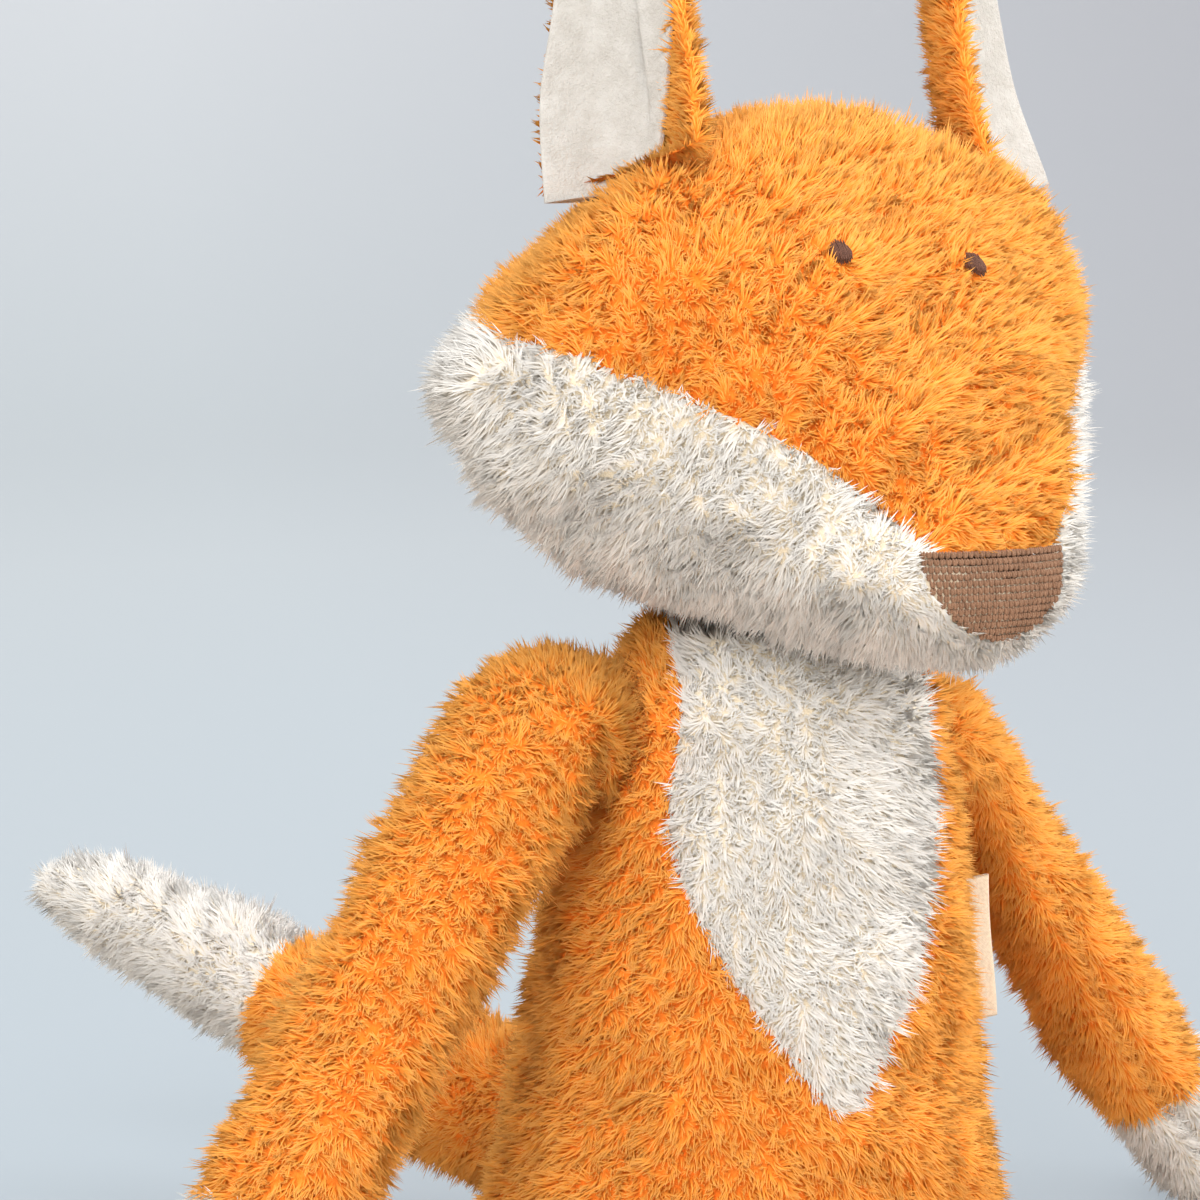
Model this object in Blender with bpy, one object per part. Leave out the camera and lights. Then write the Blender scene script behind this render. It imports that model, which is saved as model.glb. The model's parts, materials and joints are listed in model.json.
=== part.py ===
"""A sitting plush fox: stuffed body, turning head, swinging limbs, tail, ears and a side label.

Metres, +Z up. The fox faces -Y, its own left is +X, and the origin is the middle of its flat seat.
"""

import math

import bmesh
import bpy
import numpy as np
from mathutils import Matrix, Vector

# Cloth and seams
COVER_THICKNESS = 0.006
SEAM_GAP = 0.0003
MOVING_GAP = 0.0006
SEAT_FLAT_DEPTH = 0.0005
FELT_THICKNESS = 0.0022
CUT_OVERRUN = 0.004

# Body
BODY_HEIGHT = 0.172
BODY_WIDTH = 0.133
BODY_DEPTH = 0.110
# Rows of height, width and depth, as shares of the body's height, width and depth
BODY_SECTION_SHARES = (
    (-0.003, 0.66, 0.66),
    (0.012, 0.82, 0.84),
    (0.060, 0.925, 0.945),
    (0.150, 0.965, 1.00),
    (0.280, 0.915, 1.00),
    (0.400, 0.855, 0.955),
    (0.520, 0.815, 0.90),
    (0.640, 0.775, 0.82),
    (0.760, 0.715, 0.75),
    (0.880, 0.64, 0.64),
    (0.960, 0.53, 0.54),
    (1.030, 0.44, 0.47),
)

# The neck stands a little to the fox's left of the seat's middle, and forward of it
NECK_LEAN_SIDE = 0.0084
NECK_LEAN_FORWARD = 0.0019

# Bib on the chest
BIB_HEIGHT = 0.108
BIB_WIDTH = 0.076
BIB_TIP_LEVEL = 0.065
BIB_TIP_LEAN = 0.003
BIB_SHIFT = 0.003
# Rows of height up from the tip and half width, as shares of the bib's height and width
BIB_OUTLINE_SHARES = (
    (0.00, 0.00),
    (0.015, 0.11),
    (0.10, 0.29),
    (0.29, 0.67),
    (0.46, 0.88),
    (0.60, 0.945),
    (0.72, 0.90),
    (0.86, 0.81),
    (1.10, 0.70),
)

# Head, in its own frame with its origin on the neck
HEAD_WIDTH = 0.185
HEAD_HEIGHT = 0.123
HEAD_REACH = 0.129
HEAD_BACK = 0.050
HEAD_REST_TURN = math.radians(14)
HEAD_REST_TILT = math.radians(2)
# Rows of place from back to front, width, level of the widest point, top, bottom, and how
# square the top half is, from a diamond's 1 to an oval's 2 and beyond
HEAD_SECTION_SHARES = (
    (0.035, 0.466, 0.48, 0.742, 0.232, 1.35),
    (0.100, 0.730, 0.47, 0.875, 0.091, 1.30),
    (0.200, 0.933, 0.45, 0.944, 0.010, 1.30),
    (0.330, 1.000, 0.435, 0.972, -0.028, 1.40),
    (0.460, 0.932, 0.40, 0.972, -0.038, 2.10),
    (0.580, 0.796, 0.36, 0.911, -0.046, 3.00),
    (0.690, 0.639, 0.29, 0.755, -0.049, 3.10),
    (0.790, 0.490, 0.21, 0.574, -0.046, 2.90),
    (0.880, 0.376, 0.150, 0.401, -0.041, 2.60),
    (0.945, 0.288, 0.115, 0.272, -0.021, 2.30),
    (0.985, 0.178, 0.095, 0.169, 0.022, 2.00),
)
HEAD_UNDER_SQUARENESS = 1.6
HEAD_BACK_POLE_LEVEL_SHARE = 0.49
HEAD_FRONT_POLE_LEVEL_SHARE = 0.08

# Seams of the head: rows of forward place and level, as shares of the head's reach and height
CHEEK_SEAM_SHARES = (
    (-0.75, 0.64),
    (-0.30, 0.61),
    (-0.08, 0.575),
    (0.10, 0.533),
    (0.24, 0.478),
    (0.346, 0.413),
    (0.450, 0.339),
    (0.535, 0.246),
    (0.573, 0.193),
    (0.720, 0.193),
)
BACK_SEAM_PLACE = 0.034

# Nose and eyes
NOSE_WIDTH = 0.0425
NOSE_HEIGHT = 0.0205
NOSE_LEVEL = 0.0235
NOSE_DEPTH = 0.013
FACE_SIDE = -0.002
EYE_DIAMETER = 0.0062
EYE_THICKNESS = 0.0014
EYE_SPACING = 0.040
EYE_PLACE = 0.0425
EYE_SLANT = 0.0008
EYE_POCKET_DEPTH = 0.0032
EYE_POCKET_RIM = 0.0006

# Neck
NECK_RECESS_DEPTH = 0.016
NECK_RECESS_FLARE = 0.009

# Ears
EAR_HEIGHT = 0.080
EAR_WIDTH = 0.040
EAR_CUP = 0.0115
EAR_SPACING_SHARE = 0.53
EAR_PLACE = 0.008
RIGHT_EAR_FACING = math.radians(66)
LEFT_EAR_FACING = math.radians(32)
EAR_LEAN_BACK = math.radians(15)
EAR_LEAN_IN = math.radians(7)
EAR_PLUSH_THICKNESS = 0.0070
EAR_HINGE_HEIGHT = 0.0115
# Rows of height and half width, as shares of the ear's height and width
EAR_OUTLINE_SHARES = (
    (-0.16, 1.00),
    (0.00, 0.98),
    (0.14, 0.90),
    (0.30, 0.79),
    (0.48, 0.68),
    (0.66, 0.54),
    (0.82, 0.36),
    (0.92, 0.21),
    (1.00, 0.08),
)

# Arms
ARM_LENGTH = 0.192
ARM_WIDTH = 0.0395
ARM_THICKNESS = 0.0325
PAW_LENGTH = 0.047
RIGHT_SHOULDER_LEVEL = 0.147
LEFT_SHOULDER_LEVEL = 0.142
# Outward, forward and downward place at every fifth of the arm, as shares of its length
RIGHT_ARM_PATH_SHARES = (
    (0.00, 0.00, 0.00),
    (0.094, 0.038, -0.018),
    (0.192, 0.073, 0.085),
    (0.316, 0.112, 0.252),
    (0.456, 0.153, 0.465),
    (0.592, 0.194, 0.702),
)
LEFT_ARM_PATH_SHARES = (
    (0.00, 0.00, 0.00),
    (0.096, -0.072, 0.080),
    (0.219, -0.126, 0.234),
    (0.334, -0.160, 0.400),
    (0.463, -0.176, 0.562),
    (0.602, -0.190, 0.722),
)
# Rows of place along the limb and swell, as shares of its length and its width
RIGHT_ARM_SWELL_SHARES = ((0.0, 0.94), (0.22, 1.04), (0.55, 0.97), (0.76, 0.94), (0.90, 1.0), (1.0, 1.0))
LEFT_ARM_SWELL_SHARES = (
    (0.0, 0.84),
    (0.14, 0.78),
    (0.30, 0.80),
    (0.42, 0.88),
    (0.54, 1.0),
    (0.66, 1.07),
    (0.78, 1.0),
    (0.90, 1.0),
    (1.0, 1.0),
)
RIGHT_ARM_ROLL = math.radians(49)
LEFT_ARM_ROLL = math.radians(-29)

# Legs
LEG_LENGTH = 0.188
LEG_THICKNESS = 0.039
FOOT_LENGTH = 0.049
LEG_SPLAY = math.radians(15)
HIP_ANGLE = math.radians(33)
HIP_DISH_DEPTH = 0.004
LEG_SWELL_SHARES = ((0.0, 0.90), (0.15, 0.90), (0.40, 0.97), (0.74, 0.93), (0.88, 1.0), (1.0, 1.0))

# Tail
TAIL_LENGTH = 0.190
TAIL_WIDTH = 0.042
TAIL_TIP_LENGTH = 0.076
TAIL_ROOT_LEVEL = 0.030
TAIL_HEADING = math.radians(45)
# Backward place along the heading and upward place at every fifth, as shares of the tail's length
TAIL_PATH_SHARES = ((0.0, 0.0), (0.20, 0.02), (0.39, 0.075), (0.57, 0.155), (0.75, 0.23), (0.93, 0.29))
TAIL_SWELL_SHARES = ((0.0, 0.90), (0.20, 0.97), (0.42, 1.0), (0.60, 0.90), (0.80, 0.70), (1.0, 0.50))

# Side label
LABEL_HEIGHT = 0.036
LABEL_REACH = 0.0112
LABEL_THICKNESS = 0.0011
LABEL_LEVEL = 0.085

# Fineness of the forms
OUTER_SIDES = 24
INNER_SIDES = 14
BODY_RINGS = 11
HEAD_RINGS = 13
LIMB_SIDES = 12
LIMB_INNER_SIDES = 9
LIMB_RINGS = 8
LIMB_CAP_RINGS = 2
CREASE_ANGLE = math.radians(42)


def clear_scene():
    for thing in list(bpy.data.objects):
        bpy.data.objects.remove(thing, do_unlink=True)


def fabric(name, colour, roughness=0.9):
    material = bpy.data.materials.new(name)
    material.use_nodes = True
    shader = material.node_tree.nodes["Principled BSDF"]
    shader.inputs["Base Color"].default_value = (*colour, 1.0)
    shader.inputs["Roughness"].default_value = roughness
    shader.inputs["Metallic"].default_value = 0.0
    material.diffuse_color = (*colour, 1.0)
    return material


def curve_through(rows, places):
    """Rows read off a smooth curve through the given rows, at places from 0 to 1 along it."""
    rows = np.array(rows, float)
    last = len(rows) - 1
    found = []
    for place in places:
        reach = min(max(place, 0.0), 1.0) * last
        step = min(int(reach), last - 1)
        t = reach - step
        here, there = rows[step], rows[step + 1]
        before = rows[step - 1] if step > 0 else 2 * here - there
        after = rows[step + 2] if step + 2 <= last else 2 * there - here
        found.append(
            0.5
            * (
                2 * here
                + (there - before) * t
                + (2 * before - 5 * here + 4 * there - after) * t**2
                + (3 * here - before - 3 * there + after) * t**3
            )
        )
    return found


def read_table(rows, column_value, column=0):
    """The table's row at a value of one of its columns, between its neighbours."""
    rows = np.array(rows, float)
    keys = rows[:, column]
    return [float(np.interp(column_value, keys, rows[:, n])) for n in range(rows.shape[1])]


def even(count):
    return [n / (count - 1) for n in range(count)]


def closed_mesh(rings, first_pole, last_pole):
    """A closed shell through rings of points, with a fan to a pole at each end."""
    shell = bmesh.new()
    made = [[shell.verts.new(point) for point in ring] for ring in rings]
    poles = shell.verts.new(first_pole), shell.verts.new(last_pole)
    sides = len(made[0])
    for lower, upper in zip(made, made[1:]):
        for n in range(sides):
            m = (n + 1) % sides
            shell.faces.new((lower[n], lower[m], upper[m], upper[n]))
    for pole, ring in zip(poles, (made[0], made[-1])):
        for n in range(sides):
            shell.faces.new((pole, ring[n], ring[(n + 1) % sides]))
    bmesh.ops.recalc_face_normals(shell, faces=shell.faces)
    return shell


def drawn_in(shell, depth):
    """The same shell with every point moved inwards by the depth."""
    shell.normal_update()
    places = [point.co - point.normal * depth for point in shell.verts]
    for point, place in zip(shell.verts, places):
        point.co = place
    return shell


def settle(thing):
    """The cut shape becomes the object's own mesh, smooth but for its cut edges."""
    shape = thing.evaluated_get(bpy.context.evaluated_depsgraph_get())
    mesh = bpy.data.meshes.new_from_object(shape)
    thing.modifiers.clear()
    thing.data = mesh
    mesh.name = thing.name
    mesh.shade_smooth()
    mesh.set_sharp_from_angle(angle=CREASE_ANGLE)


def object_of(name, shell, material=None, parent=None):
    """An object whose mesh is given in its parent's frame."""
    mesh = bpy.data.meshes.new(name)
    bmesh.ops.triangulate(shell, faces=shell.faces, quad_method="FIXED")
    shell.to_mesh(mesh)
    shell.free()
    thing = bpy.data.objects.new(name, mesh)
    bpy.context.collection.objects.link(thing)
    thing.parent = parent
    if material:
        mesh.materials.append(material)
    return thing


def cut(thing, cutter, operation="DIFFERENCE"):
    modifier = thing.modifiers.new(f"{operation.lower()} {cutter.name}", "BOOLEAN")
    modifier.operation = operation
    modifier.solver = "EXACT"
    modifier.object = cutter


def pivot(name, place, turn=None, parent=None):
    """An empty that stands on a joint's axis."""
    empty = bpy.data.objects.new(name, None)
    bpy.context.collection.objects.link(empty)
    empty.empty_display_size = COVER_THICKNESS
    empty.parent = parent
    empty.matrix_local = Matrix.Translation(place) @ (turn or Matrix.Identity(4))
    return empty


def half_space(name, point, outward, size, parent=None):
    """A block whose one face lies at the point, and that fills the side that outward names."""
    block = bmesh.new()
    bmesh.ops.create_cube(block, size=1)
    outward = Vector(outward).normalized()
    turn = outward.to_track_quat("Z", "Y").to_matrix().to_4x4()
    place = Matrix.Translation(Vector(point) + outward * size / 2)
    bmesh.ops.transform(block, matrix=place @ turn @ Matrix.Scale(size, 4), verts=block.verts)
    return object_of(name, block, parent=parent)


def prism(name, outline, direction_from, direction_to, parent=None):
    """A block with the given flat outline of points, drawn along from one offset to another."""
    block = bmesh.new()
    near = [block.verts.new(point + direction_from) for point in outline]
    far = [block.verts.new(point + direction_to) for point in outline]
    count = len(outline)
    for n in range(count):
        m = (n + 1) % count
        block.faces.new((near[n], near[m], far[m], far[n]))
    block.faces.new(near)
    block.faces.new(far)
    bmesh.ops.recalc_face_normals(block, faces=block.faces)
    return object_of(name, block, parent=parent)


def turned(name, profile, place, sides, parent=None):
    """A closed solid turned about a vertical axis, from rows of radius and height."""
    rings = [
        [
            place + Vector((r * math.cos(math.tau * n / sides), r * math.sin(math.tau * n / sides), h))
            for n in range(sides)
        ]
        for r, h in profile
    ]
    ends = [place + Vector((0, 0, h)) for h in (profile[0][1], profile[-1][1])]
    return object_of(name, closed_mesh(rings, *ends), parent=parent)


def ball(name, place, radius, parent=None):
    shell = bmesh.new()
    bmesh.ops.create_icosphere(shell, subdivisions=3, radius=radius)
    bmesh.ops.translate(shell, vec=place, verts=shell.verts)
    return object_of(name, shell, parent=parent)


# Body


def body_middle(level):
    """The middle of the body at a level, which leans towards the neck."""
    share = max(level / BODY_HEIGHT, 0.0)
    return Vector((NECK_LEAN_SIDE * share**2, -NECK_LEAN_FORWARD * share**2, level))


def body_ring_point(row, angle):
    """A point of a body section, at an angle round from the fox's left side towards its front."""
    level, wide, deep = row
    across = wide * BODY_WIDTH / 2 * math.cos(angle)
    along = deep * BODY_DEPTH / 2 * math.sin(angle)
    return body_middle(level * BODY_HEIGHT) + Vector((across, -along, 0))


def body_point(level, angle):
    return body_ring_point(read_table(BODY_SECTION_SHARES, level / BODY_HEIGHT), angle)


def body_normal(level, angle):
    step = BODY_HEIGHT / BODY_RINGS
    turn = math.tau / OUTER_SIDES
    up = body_point(level + step, angle) - body_point(level - step, angle)
    along = body_point(level, angle + turn) - body_point(level, angle - turn)
    normal = along.cross(up).normalized()
    outward = body_point(level, angle) - body_middle(level)
    return normal if normal.dot(outward) > 0 else -normal


def body_form(rings, sides):
    rows = curve_through(BODY_SECTION_SHARES, even(rings))
    circles = [[body_ring_point(row, math.tau * n / sides) for n in range(sides)] for row in rows]
    base, top = (body_middle(row[0] * BODY_HEIGHT) for row in (rows[0], rows[-1]))
    return closed_mesh(circles, base, top)


def bib_outline(spare):
    """The bib's outline as seen from the front, drawn in by the spare."""
    rows = curve_through(BIB_OUTLINE_SHARES, even(2 * len(BIB_OUTLINE_SHARES)))
    right, left = [], []
    for up, half in rows:
        level = BIB_TIP_LEVEL + max(up, 0.0) * BIB_HEIGHT
        middle = body_middle(level).x - BIB_SHIFT + BIB_TIP_LEAN * (1 - min(up, 1.0))
        reach = max(half * BIB_WIDTH / 2 - spare, 0.0)
        if up <= 0:
            left.append(Vector((middle, 0, level + spare)))
            continue
        left.append(Vector((middle + reach, 0, level)))
        right.append(Vector((middle - reach, 0, level)))
    return left + right[::-1]


def make_body(materials, floor):
    size = BODY_HEIGHT + BODY_WIDTH
    body = object_of("body_cover", body_form(BODY_RINGS, OUTER_SIDES), materials["orange plush"])
    bib = object_of("chest_bib", body_form(BODY_RINGS, OUTER_SIDES), materials["white plush"])
    inner = {"rings": BODY_RINGS - 4, "sides": INNER_SIDES}
    stuffing = object_of(
        "body_stuffing", drawn_in(body_form(**inner), COVER_THICKNESS), materials["stuffing"]
    )
    hollow = object_of("body_hollow", drawn_in(body_form(**inner), COVER_THICKNESS - SEAM_GAP))
    neck = half_space("body_neck_line", (0, 0, BODY_HEIGHT - MOVING_GAP), (0, 0, 1), size)
    forward = Vector((0, -BODY_DEPTH, 0))
    bib_hole = prism("bib_hole", bib_outline(-SEAM_GAP / 2), Vector(), forward)
    bib_panel = prism("bib_panel", bib_outline(SEAM_GAP / 2), Vector(), forward)
    for thing in (body, bib):
        cut(thing, hollow)
    cut(body, bib_hole)
    cut(bib, bib_panel, "INTERSECT")
    for thing in (body, bib, stuffing):
        cut(thing, neck)
    cut(body, floor)
    return body


def make_label(materials):
    """A flat cloth loop on a rounded edge, which lies along the left side seam."""
    ends = [
        body_point(LABEL_LEVEL + side * LABEL_HEIGHT / 2, 0) for side in (-1, 1)
    ]
    along = (ends[1] - ends[0]).normalized()
    outward = Vector((along.z, 0, -along.x))
    edge = LABEL_THICKNESS / 2
    clear = SEAM_GAP + edge
    highest = max(
        (body_point((ends[0] + (ends[1] - ends[0]) * share).z, 0) - ends[0]).dot(outward)
        for share in even(BODY_RINGS)
    )
    middle = ends[0] + (ends[1] - ends[0]) / 2 + outward * (highest + clear)
    hinge = pivot("label_pivot", middle)
    across = Vector((0, 1, 0))
    rounding = [math.pi * n / 6 for n in range(7)]
    outline = [across * edge * math.cos(a) - outward * edge * math.sin(a) for a in rounding]
    outline += [
        outward * (LABEL_REACH - edge) - across * edge,
        outward * (LABEL_REACH - edge) + across * edge,
    ]
    label = prism("side_label", outline, -along * LABEL_HEIGHT / 2, along * LABEL_HEIGHT / 2, hinge)
    label.data.materials.append(materials["label cloth"])
    return hinge, along


# Head


def head_place(share):
    """Forward place of a section, measured from the neck."""
    return share * HEAD_REACH - HEAD_BACK


def rounded(share, squareness):
    """Height of a superellipse of unit size at a share of its half width."""
    return (1 - min(abs(share), 1.0) ** squareness) ** (1 / squareness)


def head_form(rings, sides, inset=0.0):
    """The head's form, or the form that lies the inset inside it."""
    middle = HEAD_REACH / 2 - HEAD_BACK
    squeeze = 1 - 2 * inset / HEAD_REACH

    def along(share):
        return -(middle + (head_place(share) - middle) * squeeze)

    circles = []
    for row in curve_through(HEAD_SECTION_SHARES, even(rings)):
        place, wide, level, top, bottom, squareness = row
        half = wide * HEAD_WIDTH / 2 - inset
        level = level * HEAD_HEIGHT
        rise = top * HEAD_HEIGHT - level - inset
        drop = level - bottom * HEAD_HEIGHT - inset
        ring = []
        for n in range(sides):
            turn = math.tau * n / sides
            above = math.sin(turn) > 0
            power = 2 / (squareness if above else HEAD_UNDER_SQUARENESS)
            across = math.copysign(abs(math.cos(turn)) ** power, math.cos(turn)) * half
            up = abs(math.sin(turn)) ** power * (rise if above else -drop)
            ring.append(Vector((across, along(place), level + up)))
        circles.append(ring)
    back = Vector((0, along(0), HEAD_BACK_POLE_LEVEL_SHARE * HEAD_HEIGHT))
    front = Vector((0, along(1), HEAD_FRONT_POLE_LEVEL_SHARE * HEAD_HEIGHT))
    return closed_mesh(circles, back, front)


def head_surface(side, forward):
    """A point on top of the head's form, at a place to the fox's left and forward of the neck."""
    row = read_table(HEAD_SECTION_SHARES, (forward + HEAD_BACK) / HEAD_REACH)
    _, wide, level, top, _, squareness = row
    rise = (top - level) * rounded(side / (wide * HEAD_WIDTH / 2), squareness)
    return Vector((side, -forward, (level + rise) * HEAD_HEIGHT))


def head_normal(side, forward):
    step = HEAD_REACH / HEAD_RINGS / 2
    across = head_surface(side + step, forward) - head_surface(side - step, forward)
    along = head_surface(side, forward + step) - head_surface(side, forward - step)
    normal = across.cross(along).normalized()
    return normal if normal.z > 0 else -normal


def cheek_seam_block(name, shift, up, parent):
    """The space above or below the colour seam, which runs from the cheeks down to the nose."""
    across = Vector((HEAD_WIDTH, 0, 0))
    seam = [
        Vector((0, -place * HEAD_REACH, level * HEAD_HEIGHT + shift))
        for place, level in CHEEK_SEAM_SHARES
    ]
    far = Vector((0, 0, up * 2 * HEAD_HEIGHT))
    outline = seam + [seam[-1] + far, seam[0] + far]
    return prism(name, outline, -across, across, parent)


def nose_outline(spare):
    """A half disc with a flat top, seen from the front, grown by the spare."""
    count = OUTER_SIDES // 2
    half = NOSE_WIDTH / 2 + spare
    top = NOSE_LEVEL + spare
    curve = [math.pi * n / count for n in range(1, count)]
    middle = Vector((FACE_SIDE, 0, top))
    low = [
        middle + Vector((half * math.cos(turn), 0, -(NOSE_HEIGHT + 2 * spare) * math.sin(turn)))
        for turn in curve
    ]
    return [middle + Vector((half, 0, 0)), *low, middle - Vector((half, 0, 0))]


def make_head(materials):
    turn = Matrix.Rotation(HEAD_REST_TURN, 4, "Z") @ Matrix.Rotation(HEAD_REST_TILT, 4, "Y")
    neck_place = body_middle(BODY_HEIGHT)
    neck = pivot("head_pivot", neck_place, turn)
    size = 2 * HEAD_WIDTH
    colours = {
        "head_upper": "orange plush",
        "head_lower": "white plush",
        "head_back": "orange plush",
        "nose": "nose cloth",
    }
    made = {
        name: object_of(name, head_form(HEAD_RINGS, OUTER_SIDES), materials[colour], neck)
        for name, colour in colours.items()
    }

    inner = (HEAD_RINGS - 4, INNER_SIDES)
    stuffing = object_of(
        "head_stuffing", head_form(*inner, COVER_THICKNESS), materials["stuffing"], neck
    )
    hollow = object_of("head_hollow", head_form(*inner, COVER_THICKNESS - SEAM_GAP), parent=neck)
    for thing in made.values():
        cut(thing, hollow)

    # Colour seams, each with half of the gap on either side
    half_gap = SEAM_GAP / 2
    cut(made["head_lower"], cheek_seam_block("above_cheek_seam", -half_gap, 1, neck))
    cut(made["head_upper"], cheek_seam_block("below_cheek_seam", half_gap, -1, neck))
    backward = Vector((0, 1, 0))
    behind = backward * BACK_SEAM_PLACE
    rear = half_space("behind_back_seam", behind - backward * half_gap, backward, size, neck)
    for name in ("head_upper", "head_lower"):
        cut(made[name], rear)
    front = half_space("before_back_seam", behind + backward * half_gap, -backward, size, neck)
    cut(made["head_back"], front)

    # The nose is a cap of the snout
    start = Vector((0, -head_place(1) + NOSE_DEPTH, 0))
    end = Vector((0, -head_place(1) - CUT_OVERRUN, 0))
    cut(made["nose"], prism("nose_panel", nose_outline(0.0), start, end, neck), "INTERSECT")
    deeper = start + backward * SEAM_GAP
    hole = prism("nose_hole", nose_outline(SEAM_GAP), deeper, end, neck)
    for name in ("head_upper", "head_lower"):
        cut(made[name], hole)

    # Room for the neck at every turn of the head
    neck_row = read_table(BODY_SECTION_SHARES, 1.0)
    radius = max(neck_row[1] * BODY_WIDTH, neck_row[2] * BODY_DEPTH) / 2 + MOVING_GAP
    profile = (
        (radius + NECK_RECESS_FLARE + CUT_OVERRUN, -NECK_RECESS_DEPTH - CUT_OVERRUN),
        (radius + NECK_RECESS_FLARE, -NECK_RECESS_DEPTH),
        (radius, 0.0),
    )
    recess = turned("neck_recess", profile, neck_place, OUTER_SIDES)
    for thing in (made["head_upper"], made["head_lower"], made["head_back"], stuffing):
        cut(thing, recess)
    make_eyes(made["head_upper"], neck, materials["eye thread"])
    return neck


def disc(name, frame, radius, low, high, material=None, parent=None):
    """A flat round piece in a frame that looks along its axis."""
    shell = bmesh.new()
    bmesh.ops.create_cone(
        shell,
        cap_ends=True,
        segments=OUTER_SIDES // 2,
        radius1=radius,
        radius2=radius,
        depth=high - low,
    )
    lift = Matrix.Translation((0, 0, (low + high) / 2))
    bmesh.ops.transform(shell, matrix=frame @ lift, verts=shell.verts)
    return object_of(name, shell, material, parent)


def make_eyes(face, neck, material):
    """Each eye is a stitched patch that lies in a small pocket of the plush."""
    for name, side in (("right_eye", -1), ("left_eye", 1)):
        place = FACE_SIDE + side * EYE_SPACING / 2
        forward = EYE_PLACE + side * EYE_SLANT
        turn = head_normal(place, forward).to_track_quat("Z", "Y").to_matrix().to_4x4()
        frame = Matrix.Translation(head_surface(place, forward)) @ turn
        floor = -EYE_POCKET_DEPTH
        radius = EYE_DIAMETER / 2
        pocket = disc(
            f"{name}_pocket", frame, radius + EYE_POCKET_RIM, floor, CUT_OVERRUN, parent=neck
        )
        cut(face, pocket)
        low = floor + SEAM_GAP
        disc(name, frame, radius, low, low + EYE_THICKNESS, material, neck)


# Ears


def ear_layer(name, offset_in, offset_out, frame, parent, material):
    """One cupped leaf of cloth between two offsets from the ear's middle surface."""
    rows = curve_through(EAR_OUTLINE_SHARES, even(LIMB_RINGS))
    columns = LIMB_SIDES // 2 + 1
    shell = bmesh.new()
    sheets = []
    for offset in (offset_in, offset_out):
        sheet = []
        for up, half in rows:
            line = []
            for n in range(columns):
                across = 2 * n / (columns - 1) - 1
                slope = 2 * EAR_CUP * across / (EAR_WIDTH / 2)
                inward = Vector((-slope, -1, 0)).normalized()
                place = Vector(
                    (across * half * EAR_WIDTH / 2, EAR_CUP * (1 - across**2) * half, up * EAR_HEIGHT)
                )
                line.append(shell.verts.new(frame @ (place + inward * offset)))
            sheet.append(line)
        sheets.append(sheet)
    inner, outer = sheets
    for low in range(len(rows) - 1):
        for n in range(columns - 1):
            for sheet in sheets:
                shell.faces.new(
                    (sheet[low][n], sheet[low][n + 1], sheet[low + 1][n + 1], sheet[low + 1][n])
                )
        for n in (0, -1):
            shell.faces.new((inner[low][n], inner[low + 1][n], outer[low + 1][n], outer[low][n]))
    for low in (0, -1):
        for n in range(columns - 1):
            shell.faces.new((inner[low][n], inner[low][n + 1], outer[low][n + 1], outer[low][n]))
    bmesh.ops.recalc_face_normals(shell, faces=shell.faces)
    return object_of(name, shell, material, parent)


def make_ears(neck, materials):
    """Each ear's foot is rounded about the line that the ear flops over, close to the head."""
    found = {}
    for name, side, facing in (
        ("right_ear", -1, RIGHT_EAR_FACING),
        ("left_ear", 1, LEFT_EAR_FACING),
    ):
        foot = head_surface(side * EAR_SPACING_SHARE * HEAD_WIDTH / 2, EAR_PLACE)
        up = head_normal(side * EAR_SPACING_SHARE * HEAD_WIDTH / 2, EAR_PLACE)
        lean = Matrix.Rotation(-side * EAR_LEAN_IN, 4, "Y") @ Matrix.Rotation(-EAR_LEAN_BACK, 4, "X")
        stand = lean @ Matrix.Rotation(side * facing, 4, "Z")
        chord = stand.to_3x3() @ Vector((1, 0, 0))
        line = (chord - up * chord.dot(up)).normalized()
        away = line.cross(up)
        reach = EAR_WIDTH / 2
        highest = max(
            (head_surface(spot.x, -spot.y) - foot).dot(up)
            for spot in (
                foot + line * reach * across + away * EAR_HINGE_HEIGHT * aside
                for across in (-1, 0, 1)
                for aside in (-1, 0, 1)
            )
        )
        centre = foot + up * (EAR_HINGE_HEIGHT + SEAM_GAP + max(highest, 0.0))
        hinge = pivot(f"{name}_pivot", centre, parent=neck)
        frame = stand @ Matrix.Translation((0, -EAR_CUP / 2, 0))
        lining = ear_layer(
            f"{name}_lining",
            SEAM_GAP,
            SEAM_GAP + FELT_THICKNESS,
            frame,
            hinge,
            materials["lining felt"],
        )
        plush = ear_layer(
            f"{name}_outer", -EAR_PLUSH_THICKNESS, 0.0, frame, hinge, materials["orange plush"]
        )
        arc = [
            EAR_HINGE_HEIGHT * (away * math.cos(turn) - up * math.sin(turn))
            for turn in (math.pi * n / LIMB_SIDES for n in range(LIMB_SIDES + 1))
        ]
        wide, deep = 2 * EAR_WIDTH * away, EAR_HEIGHT * up
        outline = [*arc, -wide, -wide - deep, wide - deep, wide]
        trim = prism(f"{name}_trim", outline, -line * EAR_WIDTH, line * EAR_WIDTH, hinge)
        for layer in (lining, plush):
            cut(layer, trim)
        found[name] = (hinge, line)
    return found


# Limbs and tail


def limb_rows(length, swell_shares, cap_depth):
    """Places along a limb and its swell there, round at the far end."""
    straight = (length - cap_depth) / length
    swell_at_cap = read_table(swell_shares, straight)[1]
    rows = [(straight * n, read_table(swell_shares, straight * n)[1]) for n in even(LIMB_RINGS)]
    for n in range(1, LIMB_CAP_RINGS + 1):
        turn = math.pi / 2 * n / (LIMB_CAP_RINGS + 1)
        rows.append((straight + (1 - straight) * math.sin(turn), swell_at_cap * math.cos(turn)))
    return rows


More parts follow.
